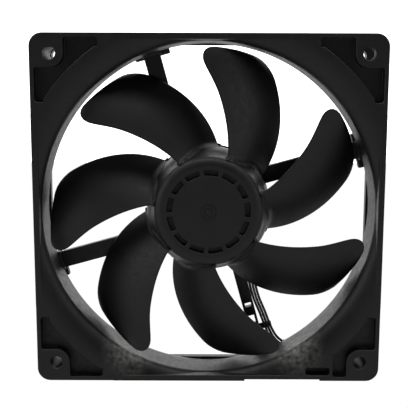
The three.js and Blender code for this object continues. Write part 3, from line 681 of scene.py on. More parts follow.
@dataclass
class Studio:
    """Camera, soft lights, white floor and white backdrop."""

    camera_place: Point3 = (-0.0017, -0.3413, 0.1164)
    camera_pitch: float = 80.9
    camera_roll: float = 0.17
    lens: float = 73.5
    shift_right: float = -0.0008
    shift_up: float = 0.0589
    target: Point3 = (0.0, 0.0, 0.07)

    def set_camera(self) -> None:
        """Makes the camera and gives it to the scene."""
        data = bpy.data.cameras.new("camera")
        data.lens = self.lens
        data.sensor_width = 36.0
        data.shift_x, data.shift_y = self.shift_right, self.shift_up
        data.clip_start, data.clip_end = 0.01, 20.0
        camera = bpy.data.objects.new("camera", data)
        camera.location = self.camera_place
        tilt = Matrix.Rotation(math.radians(self.camera_pitch), 4, "X")
        camera.rotation_euler = (tilt @ Matrix.Rotation(math.radians(self.camera_roll), 4, "Z")).to_euler()
        bpy.context.scene.collection.objects.link(camera)
        bpy.context.scene.camera = camera

    def add_light(self, name: str, place: Point3, size: Point2, power: float) -> None:
        """Adds a soft rectangular light that faces the fan.

        Args:
            name: its name.
            place: where it stands, in metres.
            size: its width and height, in metres.
            power: its power in watts.
        """
        data = bpy.data.lights.new(name, "AREA")
        data.shape = "RECTANGLE"
        data.size, data.size_y = size
        data.energy = power
        light = bpy.data.objects.new(name, data)
        light.location = place
        light.rotation_euler = (Vector(self.target) - Vector(place)).to_track_quat("-Z", "Y").to_euler()
        light.visible_camera = False
        bpy.context.scene.collection.objects.link(light)

    def set_lights(self) -> None:
        """Two soft lights behind and above the fan, one above its front and one on each side."""
        self.add_light("back_left", (-0.48, 0.02, 0.70), (0.30, 0.30), 5.0)
        self.add_light("back_right", (0.48, 0.02, 0.70), (0.30, 0.30), 4.0)
        self.add_light("soft_top", (0.0, -0.20, 0.75), (0.60, 0.40), 3.0)
        self.add_light("soft_left", (-0.70, -0.35, 0.30), (0.50, 0.50), 2.2)
        self.add_light("soft_right", (0.70, -0.35, 0.30), (0.50, 0.50), 1.5)

    def set_room(self) -> None:
        """A white floor, a white backdrop and white all round."""
        white = PlainWhite("room_white", 1.02).material()
        bright = PlainWhite("backdrop_white", 2.2).material()
        floor = self.sheet("floor", 6.0, Matrix.Translation((0, 0, -0.0002)))
        floor.visible_diffuse = False
        upright = Matrix.Translation((0, 1.1, 0.6)) @ Matrix.Rotation(math.pi / 2, 4, "X")
        backdrop = self.sheet("backdrop", 2.4, upright)
        for piece, material in ((floor, white), (backdrop, bright)):
            dress(piece, material)
        world = bpy.data.worlds.new("white_room")
        world.use_nodes = True
        background = next(n for n in world.node_tree.nodes if n.type == "BACKGROUND")
        background.inputs["Color"].default_value = (1, 1, 1, 1)
        background.inputs["Strength"].default_value = 1.02
        world.cycles_visibility.diffuse = False
        world.cycles_visibility.glossy = False
        bpy.context.scene.world = world
        bpy.context.scene.view_settings.view_transform = "Standard"

    @staticmethod
    def sheet(name: str, size: float, place: Matrix) -> bpy.types.Object:
        """A flat square sheet, in place."""
        solid = bmesh.new()
        bmesh.ops.create_grid(solid, x_segments=2, y_segments=2, size=size / 2, matrix=place)
        return Workpiece.held(name, solid)


# The lead and its pieces


@dataclass
class Lead:
    """The three wires along the strut, the free lead with its coil, and the plug.

    Its free part is given in the room frame and its wires in the fan frame, in millimetres.
    """

    diameter: float = 2.3
    length: float = 0.31
    coil_centre: Point2 = (55.9, 28.3)
    coil_radius: float = 11.5
    coil_points: int = 18
    wire_diameter: float = 1.1
    wire_pitch: float = 1.16
    plug_front: Point2 = (58.7, 34.7)
    plug_turn: float = 45.0
    plug_bottom: float = 4.9
    plug_size: Point3 = (12.0, 7.6, 4.6)
    bend_centre: Point2 = (53.66, 22.3)
    bend_radius: float = 5.2

    def tail_route(self) -> list[Point3]:
        """Out of the groove, back and down to the floor, up to the coil."""
        return [
            (35.3, 10.4, 6.86),
            (36.6, 10.5, 6.1),
            (38.3, 11.4, 5.2),
            (39.5, 13.2, 4.5),
            (40.0, 15.6, 3.8),
            (40.5, 18.4, 2.5),
            (41.7, 21.9, 1.3),
            (42.62, 26.3, 1.2),
        ]

    def coil_route(self) -> list[Point3]:
        """Nearly four clockwise turns, two wide and two high, that end on top.

        Returns:
            The turns' points. Each move between turns starts a twelfth of a turn before the
            place of the last one, so that the turns pass clear of each other.
        """
        enter, first_move, move = 168, 288, 60
        turn = 360 - 30
        radius, step = self.diameter / 2, self.diameter
        route = []
        for i in range((first_move + 3 * turn + move) * self.coil_points // 360 + 1):
            travelled = 360 / self.coil_points * i
            inward, up, outward, over = [
                smooth_step((travelled - first_move - turn * k) / move) for k in range(4)
            ]
            ring = self.coil_radius + radius - 0.02 - step * (inward - outward)
            height = radius + 0.04 + step * (up + 1.03 * over)
            angle = math.radians(enter - travelled)
            x = self.coil_centre[0] + ring * math.cos(angle)
            y = self.coil_centre[1] + ring * math.sin(angle)
            route.append((x, y, height))
        return route

    def end_route(self) -> list[Point3]:
        """Over the top of the coil and round to the plug."""
        heights = (6.0, 6.08, 6.25, 6.5, 6.8)
        bend = arc(self.bend_centre, self.bend_radius, 225, 135, len(heights) - 1)
        return [(52.55, 16.62, 5.93), *[(x, y, z) for (x, y), z in zip(bend, heights)]]

    @staticmethod
    def bar_along(name: str, route: list[Point3], diameter: float, place: Matrix) -> bpy.types.Object:
        """A round bar along a smooth route.

        Args:
            name: the piece's name.
            route: the points that it passes through, in millimetres.
            diameter: its diameter in millimetres.
            place: the transform into the room frame.

        Returns:
            The curve object.
        """
        curve = bpy.data.curves.new(name, "CURVE")
        curve.dimensions = "3D"
        curve.bevel_depth = diameter / 2 * MM
        curve.bevel_resolution = 5
        curve.resolution_u = 8
        curve.use_fill_caps = True
        spline = curve.splines.new("BEZIER")
        spline.bezier_points.add(len(route) - 1)
        for point, spot in zip(spline.bezier_points, route):
            point.co = place @ Vector(spot)
            point.handle_left_type = point.handle_right_type = "AUTO"
        made = bpy.data.objects.new(name, curve)
        bpy.context.scene.collection.objects.link(made)
        return made

    def build_cord(self, finishes: Finishes) -> None:
        route = [*self.tail_route(), *self.coil_route(), *self.end_route()]
        cord = self.bar_along("lead", route, self.diameter, room_place())
        dress(cord, finishes.vinyl)
        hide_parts("lead_tail", "lead_coil", "lead_end")
        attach(cord, "fan_body")
        plug = self.build_plug(finishes)
        LOG.info("lead: %d points", len(route))

    def build_plug(self, finishes: Finishes) -> bpy.types.Object:
        """The three-way plug: housing with guide ribs, sockets and latch windows.

        Args:
            finishes: the fan's finishes.

        Returns:
            The housing.
        """
        length, width, height = self.plug_size
        roof = height - 1
        pitch = 2.54
        work = Workpiece("plug", block((-length, -width / 2, 0), (0, width / 2, roof), 0.3))
        ribs = [block((1.5 - length, y - 0.5, roof - 0.4), (-0.02, y + 0.5, height), 0.15) for y in (-2, 2)]
        work.join(gathered(ribs))
        ways = (-pitch, 0, pitch)
        sockets = [block((2 - length, y - 0.75, 1), (1, y + 0.75, 2.6), 0.1) for y in ways]
        work.cut(gathered(sockets))
        windows = [block((-6.2, y - 0.55, 2), (-4.2, y + 0.55, height + 1), 0.1) for y in ways]
        work.cut(gathered(windows))
        funnel = swung(turned([(0, -0.6), (1.5, -0.6), (1.3, 0.8), (0, 0.8)], 32), 0)
        bmesh.ops.transform(funnel, matrix=Matrix.Rotation(math.pi / 2, 4, "Y"), verts=funnel.verts)
        work.cut(swung(funnel, 0, (-length, 0, 1.9)))
        place = Matrix.Translation((*self.plug_front, self.plug_bottom))
        place = room_place() @ place @ Matrix.Rotation(math.radians(self.plug_turn), 4, "Z")
        plug = work.finished(place)
        dress(plug, finishes.plug)
        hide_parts("plug_housing")
        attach(plug, "fan_body")
        return plug

    def wire_route(self, strut: "Frame", side: int) -> list[Point3]:
        """One wire's way from the board header, beside its strut, to the grommet.

        Args:
            strut: the frame, which knows where its struts lie.
            side: -1, 0 or 1 across the three wires.

        Returns:
            The route in the fan frame.
        """
        beside = [(19.6, 9.8, 2), (28, 9.4, 2), (36, 9.4, 2), (44, 9.4, 2.1), (51, 10.3, 2.2)]
        middle = [(*strut.beside(3, along, across), z) for along, across, z in beside]
        middle += [(26.9, -54.8, 2.2), (29.0, -58.4, 2.1), (31.6, -60.9, 2.1)]
        bow = (0.2, 0, 0, 0, 0, 0, 0.1, 0.2)
        lift = (0, 0, 0.05, 0.2, 0.4, 0.25, 0, 0)
        route = []
        for i, (x, y, z) in enumerate(middle):
            before, after = middle[max(0, i - 1)], middle[min(len(middle) - 1, i + 1)]
            along = (Vector(after) - Vector(before)).to_2d().normalized()
            apart = (self.wire_pitch + bow[i]) * side
            raised = z + lift[i] * (1 - abs(side)) + 0.2 * lift[i] * side
            route.append((x - along.y * apart, y + along.x * apart, raised))
        return route

    def build_wires(self, strut: "Frame", finishes: Finishes) -> None:
        """Makes the three wires that lie beside the open strut."""
        for side in (-1, 0, 1):
            number = side + 2
            wire = self.bar_along(f"wire_{number}", self.wire_route(strut, side), self.wire_diameter, fan_place())
            dress(wire, finishes.vinyl)
            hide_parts(f"lead_wire_{number}")
            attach(wire, "fan_body")
        LOG.info("wires: 3")

    def build_grommet(self, finishes: Finishes) -> None:
        """The ribbed rubber grommet that holds the lead in its groove."""
        half_length, half_width, low, high = 1.7, 2.3, 0.4, 3.8
        middle = (low + high) / 2
        core = block((-half_length, 0.3 - half_width, low + 0.3), (half_length, half_width - 0.3, high - 0.3), 0.4)
        work = Workpiece("grommet", core)
        for x in (-1.25, 0, 1.25):
            flange = prism(rounded_box(half_width, (high - low) / 2, 0.7), -0.38, 0.38, rounded_rim(0.15, 2), rounded_rim(0.15, 2))
            upright = Matrix.Translation((x, 0, middle)) @ Matrix.Rotation(math.pi / 2, 4, "Z")
            upright = upright @ Matrix.Rotation(math.pi / 2, 4, "X")
            bmesh.ops.transform(flange, matrix=upright, verts=flange.verts)
            work.join(flange)
        place = fan_place() @ Matrix.Translation((33.5, -62.1, 0)) @ Matrix.Rotation(math.radians(-30), 4, "Z")
        grommet = work.finished(place)
        dress(grommet, finishes.rubber)
        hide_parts("lead_grommet")
        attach(grommet, "fan_body")
        LOG.info("grommet: %d faces", len(grommet.data.polygons))


# The frame moulding


@dataclass
class Frame:
    """The square frame with its duct, corner pockets, four struts and motor base."""

    half: float = 70.0
    depth: float = 25.0
    corner_radius: float = 5.2
    edge_radius: float = 0.35
    flange: float = 5.0
    opening_half: float = 67.6
    outlet_half: float = 66.5
    outlet_lip: float = 3.5
    throat_front_z: float = 19.5
    throat_rear_z: float = 7.0
    throat_radius: float = 67.3
    throat_rear_radius: float = 67.05
    inlet_radius: float = 77.0
    outlet_radius: float = 71.0
    duct_outer_radius: float = 69.4
    ridge_radius: float = 78.6
    duct_steps: int = 240
    hole_radius: float = 2.5
    hole_inset: float = 7.75
    boss_size: float = 13.2
    pocket_wall: float = 1.65
    pocket_depth: float = 4.2
    pocket_reach: float = 26.75
    pocket_short_reach: float = 18.8
    pocket_end_radius: float = 1.3
    slot_depth: float = 4.2
    chamfer: float = 0.18
    strut_angle: float = 15.4
    strut_offset: float = 6.2
    strut_width: float = 7.0
    strut_height: float = 3.4
    base_radius: float = 26.0
    base_height: float = 2.4

    def beside(self, k: int, along: float, across: float) -> Point2:
        """A point beside strut k: along its own line and across it to its left."""
        angle = math.radians(self.strut_angle + 90 * k)
        x = along * math.cos(angle) - across * math.sin(angle)
        return x, along * math.sin(angle) + across * math.cos(angle)

    def bell(self, start: Point2, end: Point2, steps: int) -> list[Point2]:
        """A quarter ellipse from one radius and height to another, level at its far end."""
        line = []
        for i in range(steps + 1):
            t = math.pi / 2 * i / steps
            radius = end[0] - (end[0] - start[0]) * math.cos(t)
            line.append((radius, start[1] + (end[1] - start[1]) * math.sin(t)))
        return line

    def air_space(self) -> bmesh.types.BMesh:
        """The air's way through: outlet bell, bore and inlet bell, cut flat by the four sides."""
        beyond = 2.0
        outlet = self.bell((self.throat_rear_radius, self.throat_rear_z), (self.outlet_radius, 0), 12)
        inlet = self.bell((self.throat_radius, self.throat_front_z), (self.inlet_radius, self.depth), 20)
        profile = [(0.0, -beyond), (self.outlet_radius, -beyond), *reversed(outlet), *inlet]
        profile += [(self.inlet_radius, self.depth + beyond), (0.0, self.depth + beyond)]
        work = Workpiece("air", turned(profile, self.duct_steps))
        rim = flared_rim(self.chamfer, beyond)
        outline = rounded_box(self.opening_half, self.opening_half, 1.0)
        work.keep_common(prism(outline, -beyond, self.depth + beyond, rim, rim))
        return work.released()

    def shell(self) -> Workpiece:
        """Two square flanges joined by the round duct."""
        outer = self.duct_outer_radius
        waist = [(outer + 4.2, self.flange + 0.4), (outer + 1.6, self.flange + 1.9), (outer, self.flange + 4.4)]
        throat = [(outer, 12.0), (outer, 14.4), (outer + 3, 17), (self.ridge_radius + 1.4, 19.4)]
        profile = [(0.0, 0.02), (outer + 4.2, 0.02), *eased([*waist, *throat], 4)]
        profile += [(self.ridge_radius + 1.4, self.depth - 0.02), (0.0, self.depth - 0.02)]
        work = Workpiece("frame", turned(profile, self.duct_steps))
        inner = self.half - 0.02
        work.keep_common(prism(rounded_box(inner, inner, self.corner_radius, 10), -1, self.depth + 1))
        rim = rounded_rim(self.edge_radius)
        outline = rounded_box(self.half, self.half, self.corner_radius, 10)
        work.join(prism(outline, 0, self.flange, rim, rim))
        work.join(prism(outline, self.depth - self.flange, self.depth, rim, rim))
        return work

    def outlet_lips(self) -> bmesh.types.BMesh:
        """The square ring whose four sides narrow the outlet a little."""
        outer, inner = self.half - 1.0, self.outlet_half
        work = Workpiece("lips", prism(rounded_box(outer, outer, self.corner_radius), 0.02, self.outlet_lip))
        rim = flared_rim(self.chamfer)
        work.cut(prism(rounded_box(inner, inner, 1.0), -0.98, self.outlet_lip + 1, rim, rim))
        return work.released()

    def pocket_outline(self, reach_along_top: float, reach_along_side: float) -> list[Point2]:
        """The L-shaped pocket beside the screw boss of the top right corner.

        Args:
            reach_along_top: how far its upper lobe reaches from the frame's side.
            reach_along_side: how far its other lobe reaches from the frame's top.

        Returns:
            The outline, anticlockwise.
        """
        wall = self.half - self.pocket_wall
        boss = self.half - self.boss_size
        centre = self.half - self.hole_inset
        top_end, side_end = self.half - reach_along_top, self.half - reach_along_side
        r, ease = self.pocket_end_radius, 0.9

        def on_ridge(distance: float) -> float:
            """The other coordinate of a point on the ridge's circle."""
            return math.sqrt(self.ridge_radius**2 - distance**2)

        top_angle = math.degrees(math.atan2(on_ridge(top_end + r), top_end + r))
        side_angle = math.degrees(math.atan2(side_end + r, on_ridge(side_end + r)))
        outline = arc((boss - ease, wall - ease), ease, 0, 90, 4)
        outline += arc((top_end + r, wall - r), r, 90, 180, 5)
        outline += [(top_end, min(wall - r, on_ridge(top_end + r)) - 0.05)]
        outline += arc((0, 0), self.ridge_radius, top_angle, side_angle, 14)
        outline += [(min(wall - r, on_ridge(side_end + r)) - 0.05, side_end)]
        outline += arc((wall - r, side_end + r), r, 270, 360, 5)
        outline += arc((wall - ease, boss - ease), ease, 0, 90, 4)
        outline += arc((centre, centre), centre - boss, 270, 180, 10)
        return outline

    def corner_cuts(self) -> list[bmesh.types.BMesh]:
        """Pockets and chamfered screw holes of the four corners, then the ejector marks."""
        floor = self.depth - self.pocket_depth
        centre = self.half - self.hole_inset
        r, c = self.hole_radius, 0.3
        hole = [(0, -1), (r + c, -1), (r + c, 0), (r, c), (r, self.flange - c), (r + c, self.flange)]
        hole += [(r + c, self.depth - self.flange), (r, self.depth - self.flange + c)]
        hole += [(r, self.depth - c), (r + c, self.depth), (r + c, self.depth + 1), (0, self.depth + 1)]
        main, marks = [], []
        for corner in Corner:
            short = corner is Corner.BOTTOM_RIGHT
            side_reach = self.pocket_short_reach if short else self.pocket_reach
            outline = self.pocket_outline(self.pocket_reach, side_reach)
            pocket = prism(outline, floor, self.depth + 1, rounded_rim(0.35), flared_rim(self.chamfer))
            main += [swung(pocket, 90 * corner.value)]
            main += [swung(turned(hole, 48), 0, (centre, centre, 0))]
            swung(main[-1], 90 * corner.value)
            spots = [(self.half - 19.3, self.half - 5.1), (self.half - 5.4, self.half - 19.5)]
            for spot in spots[: 1 if short else 2]:
                mark = turned([(0, floor - 0.12), (2.1, floor - 0.12), (2.2, floor + 0.5), (0, floor + 0.5)], 32)
                marks += [swung(swung(mark, 0, (*spot, 0)), 90 * corner.value)]
        return [gathered(main), gathered(marks)]

    def edge_cuts(self) -> bmesh.types.BMesh:
        """The slot for the lead's hook and the shallow recess under the frame."""
        slot = prism(
            rounded_box(5, 1.65, 1.2), self.depth - self.slot_depth, self.depth + 1,
            front_rim=flared_rim(self.chamfer),
        )
        recess = block((15, -self.half - 1, self.depth - 8), (46, 0.7 - self.half, self.depth + 1))
        return gathered([swung(slot, 0, (45, -66, 0)), recess])

    def strut_bar(
        self, k: int, along: Point2, across: Point2, height: Point2, rounding: float = 0.0
    ) -> bmesh.types.BMesh:
        """A bar in strut k's own directions.

        Args:
            k: which strut, anticlockwise.
            along: its ends along the strut.
            across: its sides across the strut.
            height: its rear and front faces.
            rounding: the radius of its edges.

        Returns:
            The closed solid.
        """
        low = (along[0], across[0], height[0])
        high = (along[1], across[1], height[1])
        return swung(block(low, high, rounding), self.strut_angle + 90 * k)

    def spider(self) -> bmesh.types.BMesh:
        """The four struts: three hollow ones and the open ladder that carries the wires."""
        low, high = self.strut_offset - self.strut_width / 2, self.strut_offset + self.strut_width / 2
        ladder_high = self.strut_offset + 1.4
        tall, wall = self.strut_height, 1.2
        bars = [self.strut_bar(k, (24, 69), (low, high), (0, tall), 0.3) for k in range(3)]
        bars += [self.strut_bar(3, (24, 69), (low, ladder_high), (0, tall), 0.3)]
        work = Workpiece("spider", gathered(bars))
        hollows = [
            self.strut_bar(k, (27, 63), (low + wall, high - wall), (-1, tall - wall), 0.3) for k in range(3)
        ]
        windows = [
            self.strut_bar(3, ends, (low + 1.1, ladder_high - 1.1), (-1, tall + 1), 0.2)
            for ends in ((45.4, 47.2), (51.2, 55.2))
        ]
        work.cut(gathered(hollows + windows))
        roots = [self.strut_bar(k, (65.9, 69), (low - 0.6, high + 0.6), (0, tall + 2.8), 0.3) for k in range(3)]
        roots += [self.strut_bar(3, (65.9, 69), (low - 0.6, ladder_high + 0.6), (0, tall + 2.8), 0.3)]
        work.join(gathered(roots))
        pads = [self.strut_bar(k, (65.3, 69), (low - 4.2, high + 3.6), (0.01, tall), 0.5) for k in range(3)]
        work.join(gathered(pads))
        rests = [
            self.strut_bar(3, ends, (ladder_high - 0.5, ladder_high + 5.2), (0.01, 0.8), 0.15)
            for ends in ((34, 37), (56.4, 59))
        ]
        work.join(gathered(rests))
        return work.released()

    def motor_base(self) -> bmesh.types.BMesh:
        """The disc that carries the motor, with its label recess, bearing tube and wire channel."""
        r, top, e = self.base_radius, self.base_height, 0.35
        under = [(0, 0.8), (15.8, 0.8), (15.8, 0.15), (15.95, 0), (r - e, 0), (r, e)]
        over = [(r, top - e), (r - e, top), (6.0, top), *arc((6.0, top + 1), 1.0, 255, 180, 4)]
        tube = [(5.0, 16.9), (4.8, 17.2), (4.4, 17.2), (4.2, 17.0), (4.2, 1.7), (0, 1.7)]
        work = Workpiece("base", turned(under + over + tube, 120))
        work.cut(self.strut_bar(3, (16.8, 28), (7.1, 12.6), (0.9, top + 1), 0.2))
        return work.released()

    def lead_groove(self) -> bmesh.types.BMesh:
        """The groove in the rear flange through which the wires and the lead leave."""
        half_width, high = 2.6, 4.2
        work = Workpiece("groove", swung(block((-3.4, -half_width, -1), (9.6, half_width, high)), -30, (33.5, -62.1, 0)))
        work.join(swung(block((-8, -half_width, -1), (1.6, half_width, high - 0.02)), -50, (32.4, -61.2, 0)))
        return work.released()

    def build(self, finishes: Finishes) -> None:
        """Makes the moulding and dresses it."""
        work = self.shell()
        work.cut(self.air_space())
        work.join(self.outlet_lips())
        work.join(self.spider())
        work.join(self.motor_base())
        for cuts in self.corner_cuts():
            work.cut(cuts)
        work.cut(self.edge_cuts())
        work.cut(self.lead_groove())
        frame_piece = work.finished(fan_place())
        dress(frame_piece, finishes.frame_black)
        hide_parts("fan_frame")
        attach(frame_piece, "fan_body")
        LOG.info("frame: %d faces", len(frame_piece.data.polygons))


# The impeller


@dataclass
class Impeller:
    """The hub with its skirt and seven swept blades."""

    blades: int = 7
    tip: float = 65.0
    root: float = 22.0
    front_z: float = 21.6
    rear_z: float = 5.1
    camber: float = 0.34
    chord_steps: int = 36
    fillet: float = 1.7
    edge_radius: float = 0.6
    tip_chamfer: float = 0.9
    hub_front_z: float = 24.4
    hub_rear_z: float = 3.9
    hub_radius: float = 25.5
    hub_steps: int = 168
    pockets: int = 13
    pocket_radius: float = 15.75
    pocket_width: float = 2.3
    pocket_span: float = 21.6
    pocket_depth: float = 2.4
    first_pocket: float = 86.5

    def outside(self) -> list[Point2]:
        """The hub's outer profile, from the skirt's rear rim to the flat face."""
        rear, r = self.hub_rear_z, self.hub_radius
        skirt = [(r - 0.4, rear), *arc((r - 0.4, rear + 0.4), 0.4, 300, 360, 3)]
        flank = [(r, 12.0), (24.7, 15.4), (23.3, 18.4), (22.45, 20.8), (22.0, 22.3)]
        shoulder = [(21.0, 23.5), (19.6, 24.2), (18.4, self.hub_front_z)]
        return [*skirt, *eased([*flank, *shoulder], 5)]

    def hub_radius_at(self, z: float) -> float:
        """The hub's outer radius at a height."""
        line = self.outside()
        for (r0, z0), (r1, z1) in zip(line, line[1:]):
            if z0 <= z <= z1 and z1 > z0:
                return r0 + (r1 - r0) * (z - z0) / (z1 - z0)
        return self.hub_radius if z < self.front_z else line[-1][0]

    def leading_edge(self, radius: float) -> float:
        """The angle of a blade's leading edge at a radius, in degrees."""
        d = radius - 25
        return 72.2 + 0.66 * d - 0.0029 * d * d + 0.8 * smooth_step((radius - 46) / 12)

    def trailing_edge(self, radius: float) -> float:
        """The angle of a blade's trailing edge at a radius, in degrees."""
        return 34.2 + 0.975 * (radius - 30)

    def tip_round(self, radius: float, corner: float) -> float:
        """How far a rounded tip corner draws an edge in at a radius, in degrees."""
        past = max(0.0, radius - (self.tip - corner))
        drawn = corner - math.sqrt(max(0.0, corner**2 - past**2))
        return math.degrees(drawn / radius)

    def rows(self) -> list[float]:
        """The radii of a blade's rows of points, closer at its root fillet and its tip."""
        foot = [self.root + 0.6 * i for i in range(10)]
        middle = [28 + 31 * i / 15 for i in range(16)]
        corner = [59 + 6 * math.sin(math.radians(a)) for a in (14, 28, 43, 58.2, 74, 90)]
        return [*foot, *middle, *corner]

    def half_thickness(self, chord: float, span: float, side: int, edge: float, radius: float) -> float:
        """Half of a blade's thickness at a point.

        Args:
            chord: 0 at the trailing edge and 1 at the leading edge.
            span: 0 at the root and 1 at the tip.
            side: -1 on the rear face and 1 on the front face.
            edge: the distance to the nearer edge, in millimetres.
            radius: the point's radius.

        Returns:
            The half thickness in millimetres.
        """
        full = 0.45 + 0.5 * math.sin(math.pi * min(1.0, chord + 0.06)) * (1.2 - 0.5 * span)
        nose = math.sqrt(1 - (1 - min(1.0, edge / self.edge_radius)) ** 2)
        past = max(0.0, radius - (self.tip - self.tip_chamfer)) / self.tip_chamfer
        chamfer = 1 - past * (0.75 if side > 0 else 0.3)
        return full * max(0.12, nose) * chamfer

    def laid(self, spot: Vector, rows: list[float]) -> Point3:
        """Where a point of the flat slab lies on the twisted, cambered blade.

        Args:
            spot: the slab's point, from -0.5 to 0.5 along the chord and the span.
            rows: the radii of the slab's rows.

        Returns:
            The point in the fan frame.
        """
        chord = (1 - math.cos(math.pi * (spot.x + 0.5))) / 2
        radius = rows[round((spot.y + 0.5) * (len(rows) - 1))]
        side = 1 if spot.z > 0.5 else -1
        span = (radius - self.root) / (self.tip - self.root)
        rise = chord + self.camber * chord * (1 - chord)
        slope = 1 + self.camber * (1 - 2 * chord)
        depth = self.front_z - self.rear_z
        z = self.rear_z + depth * rise
        off_hub = min(self.fillet, max(0.0, radius - self.hub_radius_at(z)))
        flare = self.fillet - math.sqrt(self.fillet**2 - (self.fillet - off_hub) ** 2)
        rear = self.trailing_edge(radius) + self.tip_round(radius, 6)
        front = self.leading_edge(radius) - self.tip_round(radius, 7)
        arc_length = math.radians(front - rear) * radius
        edge = min(chord, 1 - chord) * math.hypot(arc_length, depth)
        along = math.radians(front - rear) * chord + (flare * 0.7 / radius) * (2 * chord - 1)
        normal = Vector((-depth * slope, arc_length)).normalized()
        room = smooth_step((z - self.hub_rear_z - 0.4) / 3)
        half = side * (self.half_thickness(chord, span, side, edge, radius) + flare * room)
        angle = math.radians(rear) + along + half * normal.x / radius
        return radius * math.cos(angle), radius * math.sin(angle), z + half * normal.y

    def blade(self) -> bmesh.types.BMesh:
        """One blade: a slab of even cells whose points are laid on the blade's form."""
        rows = self.rows()
        solid = bmesh.new()
        bmesh.ops.create_grid(solid, x_segments=self.chord_steps, y_segments=len(rows) - 1, size=0.5)
        made = bmesh.ops.extrude_face_region(solid, geom=solid.faces[:])["geom"]
        bmesh.ops.translate(solid, verts=new_verts(made), vec=(0, 0, 1))
        for vert in solid.verts:
            vert.co = self.laid(vert.co, rows)
        bmesh.ops.recalc_face_normals(solid, faces=solid.faces)
        return solid

    def root_tab(self) -> bmesh.types.BMesh:
        """The small tab beside a blade's trailing root."""
        tab = block((self.hub_radius - 1, -1.1, 4.3), (self.hub_radius + 1.2, 0.6, 6.2), 0.2)
        return swung(tab, self.trailing_edge(self.hub_radius))

    def balance_pockets(self) -> bmesh.types.BMesh:
        """The arc-shaped pockets that take balancing weights."""
        inner = self.pocket_radius - self.pocket_width / 2
        outer = self.pocket_radius + self.pocket_width / 2
        half, corner = self.pocket_span / 2, 0.5
        made = []
        for k in range(self.pockets):
            middle = self.first_pocket + 360 / self.pockets * k
            outline = self.sector(inner, outer, middle - half, middle + half, corner)
            floor = self.hub_front_z - self.pocket_depth
            made += [prism(outline, floor, self.hub_front_z + 1, rounded_rim(0.25), flared_rim(0.1))]
        return gathered(made)

    @staticmethod
    def sector(inner: float, outer: float, start: float, end: float, corner: float) -> list[Point2]:
        """Outline of a piece of a ring with rounded corners.

        Args:
            inner: its inner radius.
            outer: its outer radius.
            start: its first angle, in degrees.
            end: its last angle, in degrees.
            corner: the corners' radius.

        Returns:
            The outline, anticlockwise.
        """
        outline: list[Point2] = []
        lobes = [(outer - corner, end, 0), (inner + corner, end, 90), (inner + corner, start, 180), (outer - corner, start, 270)]
        for radius, edge, turn in lobes:
            inward = math.degrees(corner / radius)
            angle = edge - inward if edge == end else edge + inward
            centre = (radius * math.cos(math.radians(angle)), radius * math.sin(math.radians(angle)))
            if turn == 90:
                outline += arc(centre, corner, angle + 90, angle + 180, 4)
            elif turn == 0:
                stretch = arc((0, 0), outer, start + inward, end - inward, 6)
                outline += stretch + arc(centre, corner, angle, angle + 90, 4)[1:]
            elif turn == 180:
                stretch = arc((0, 0), inner, end - inward, start + inward, 6)
                outline += stretch[1:] + arc(centre, corner, angle + 180, angle + 270, 4)[1:]
            else:
                outline += arc(centre, corner, angle + 270, angle + 360, 4)[:-1]
        return outline

    def gate_mark(self) -> bmesh.types.BMesh:
        """The grooves round the moulding gate in the middle of the face."""
        z = self.hub_front_z
        cuts = []
        for radius, width in ((3.0, 0.3), (1.7, 0.2)):
            ring = [(radius - width, z - 0.18), (radius + width, z - 0.18)]
            ring += [(radius + width + 0.12, z + 0.3), (radius - width - 0.12, z + 0.3)]
            cuts += [turned(ring, 48, closed=True)]
        return gathered(cuts)

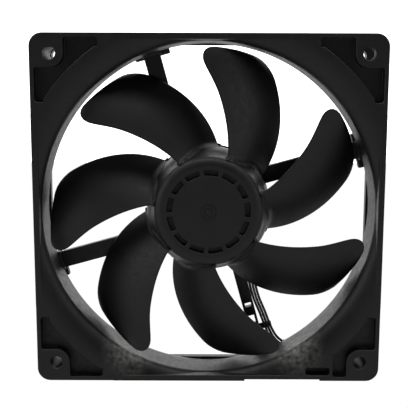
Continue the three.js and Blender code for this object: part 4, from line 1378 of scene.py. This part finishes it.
    def build(self, finishes: Finishes) -> None:
        """Makes the moulding and dresses it."""
        rim = self.outside()
        work = Workpiece("rotor_moulding", turned([(0, self.hub_rear_z), *rim, (0, self.hub_front_z)], self.hub_steps))
        step = 360 / self.blades
        for k in range(self.blades):
            work.join(swung(self.blade(), step * k))
        work.join(gathered([swung(self.root_tab(), step * k) for k in range(self.blades)]))
        cup = [(0, 0), (23.9, 0), (23.9, 13.6), (23.6, 14), (21.1, 16), (21.1, 21.2), (20.9, 21.4), (0, 21.4)]
        work.cut(turned(cup, self.hub_steps))
        ribs = [swung(block((21.1, -0.5, 5.4), (24.4, 0.5, 15), 0.1), step * k) for k in range(self.blades)]
        work.join(gathered(ribs))
        work.cut(self.balance_pockets())
        work.cut(self.gate_mark())
        nib = turned([(0, 24.2), (0.75, 24.2), (0.7, 24.44), (0.4, 24.56), (0, 24.6)], 32)
        work.join(nib)
        work.cut(turned([(0, 20.4), (1.8, 20.4), (1.8, 23.3), (0, 23.3)], 48))
        moulding = work.finished(fan_place(), 38)
        dress(moulding, finishes.rotor_black)
        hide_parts("impeller")
        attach(moulding, "rotor")
        LOG.info("rotor moulding: %d faces", len(moulding.data.polygons))


# The motor


@dataclass
class Motor:
    """The pieces inside the hub, which keep their shapes and take their finishes."""

    edge: float = 0.08

    def soften(self, node: bpy.types.Object) -> None:
        """Rounds a node's edges a little with modifiers."""
        weld = node.modifiers.new("weld", "WELD")
        weld.merge_threshold = 1e-6
        bevel = node.modifiers.new("edge", "BEVEL")
        bevel.width = self.edge * MM
        bevel.segments = 2
        bevel.limit_method = "ANGLE"
        bevel.angle_limit = math.radians(40)

    def dress_all(self, finishes: Finishes) -> None:
        """Gives every piece of the motor and the lead's metal its finish."""
        looks = {
            finishes.film: ["motor_label"],
            finishes.core_steel: ["stator_core", "rotor_yoke"],
            finishes.nylon: ["insulator_rear", "insulator_front", "thrust_washer", "wire_header"],
            finishes.winding: [f"pole_coil_{k}" for k in range(1, 5)],
            finishes.board: ["circuit_board"],
            finishes.package: ["driver_chip", "hall_sensor", "flyback_diode", "filter_capacitor"],
            finishes.steel: ["bearing_rear", "bearing_front", "preload_spring", "rotor_shaft", "retaining_clip"],
            finishes.ferrite: ["ring_magnet"],
            finishes.brass: ["shaft_boss", "plug_contact_1", "plug_contact_2", "plug_contact_3"],
        }
        for material, names in looks.items():
            for name in names:
                dress(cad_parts[name], material)
                self.soften(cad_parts[name])
        LOG.info("motor: %d pieces dressed", sum(len(names) for names in looks.values()))


def write_sizes() -> None:
    """Brings the scene's transforms up to date."""
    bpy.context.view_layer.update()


def main() -> None:
    """Builds the studio, the lead, the frame, the impeller and the motor in turn."""
    logging.basicConfig(level=logging.INFO, format="%(name)s: %(message)s")
    studio = Studio()
    studio.set_camera()
    finishes = Finishes()
    lead = Lead()
    lead.build_cord(finishes)
    body = Frame()
    lead.build_wires(body, finishes)
    lead.build_grommet(finishes)
    body.build(finishes)
    Impeller().build(finishes)
    Motor().dress_all(finishes)
    studio.set_lights()
    studio.set_room()
    write_sizes()


if __name__ == "__main__":
    main()
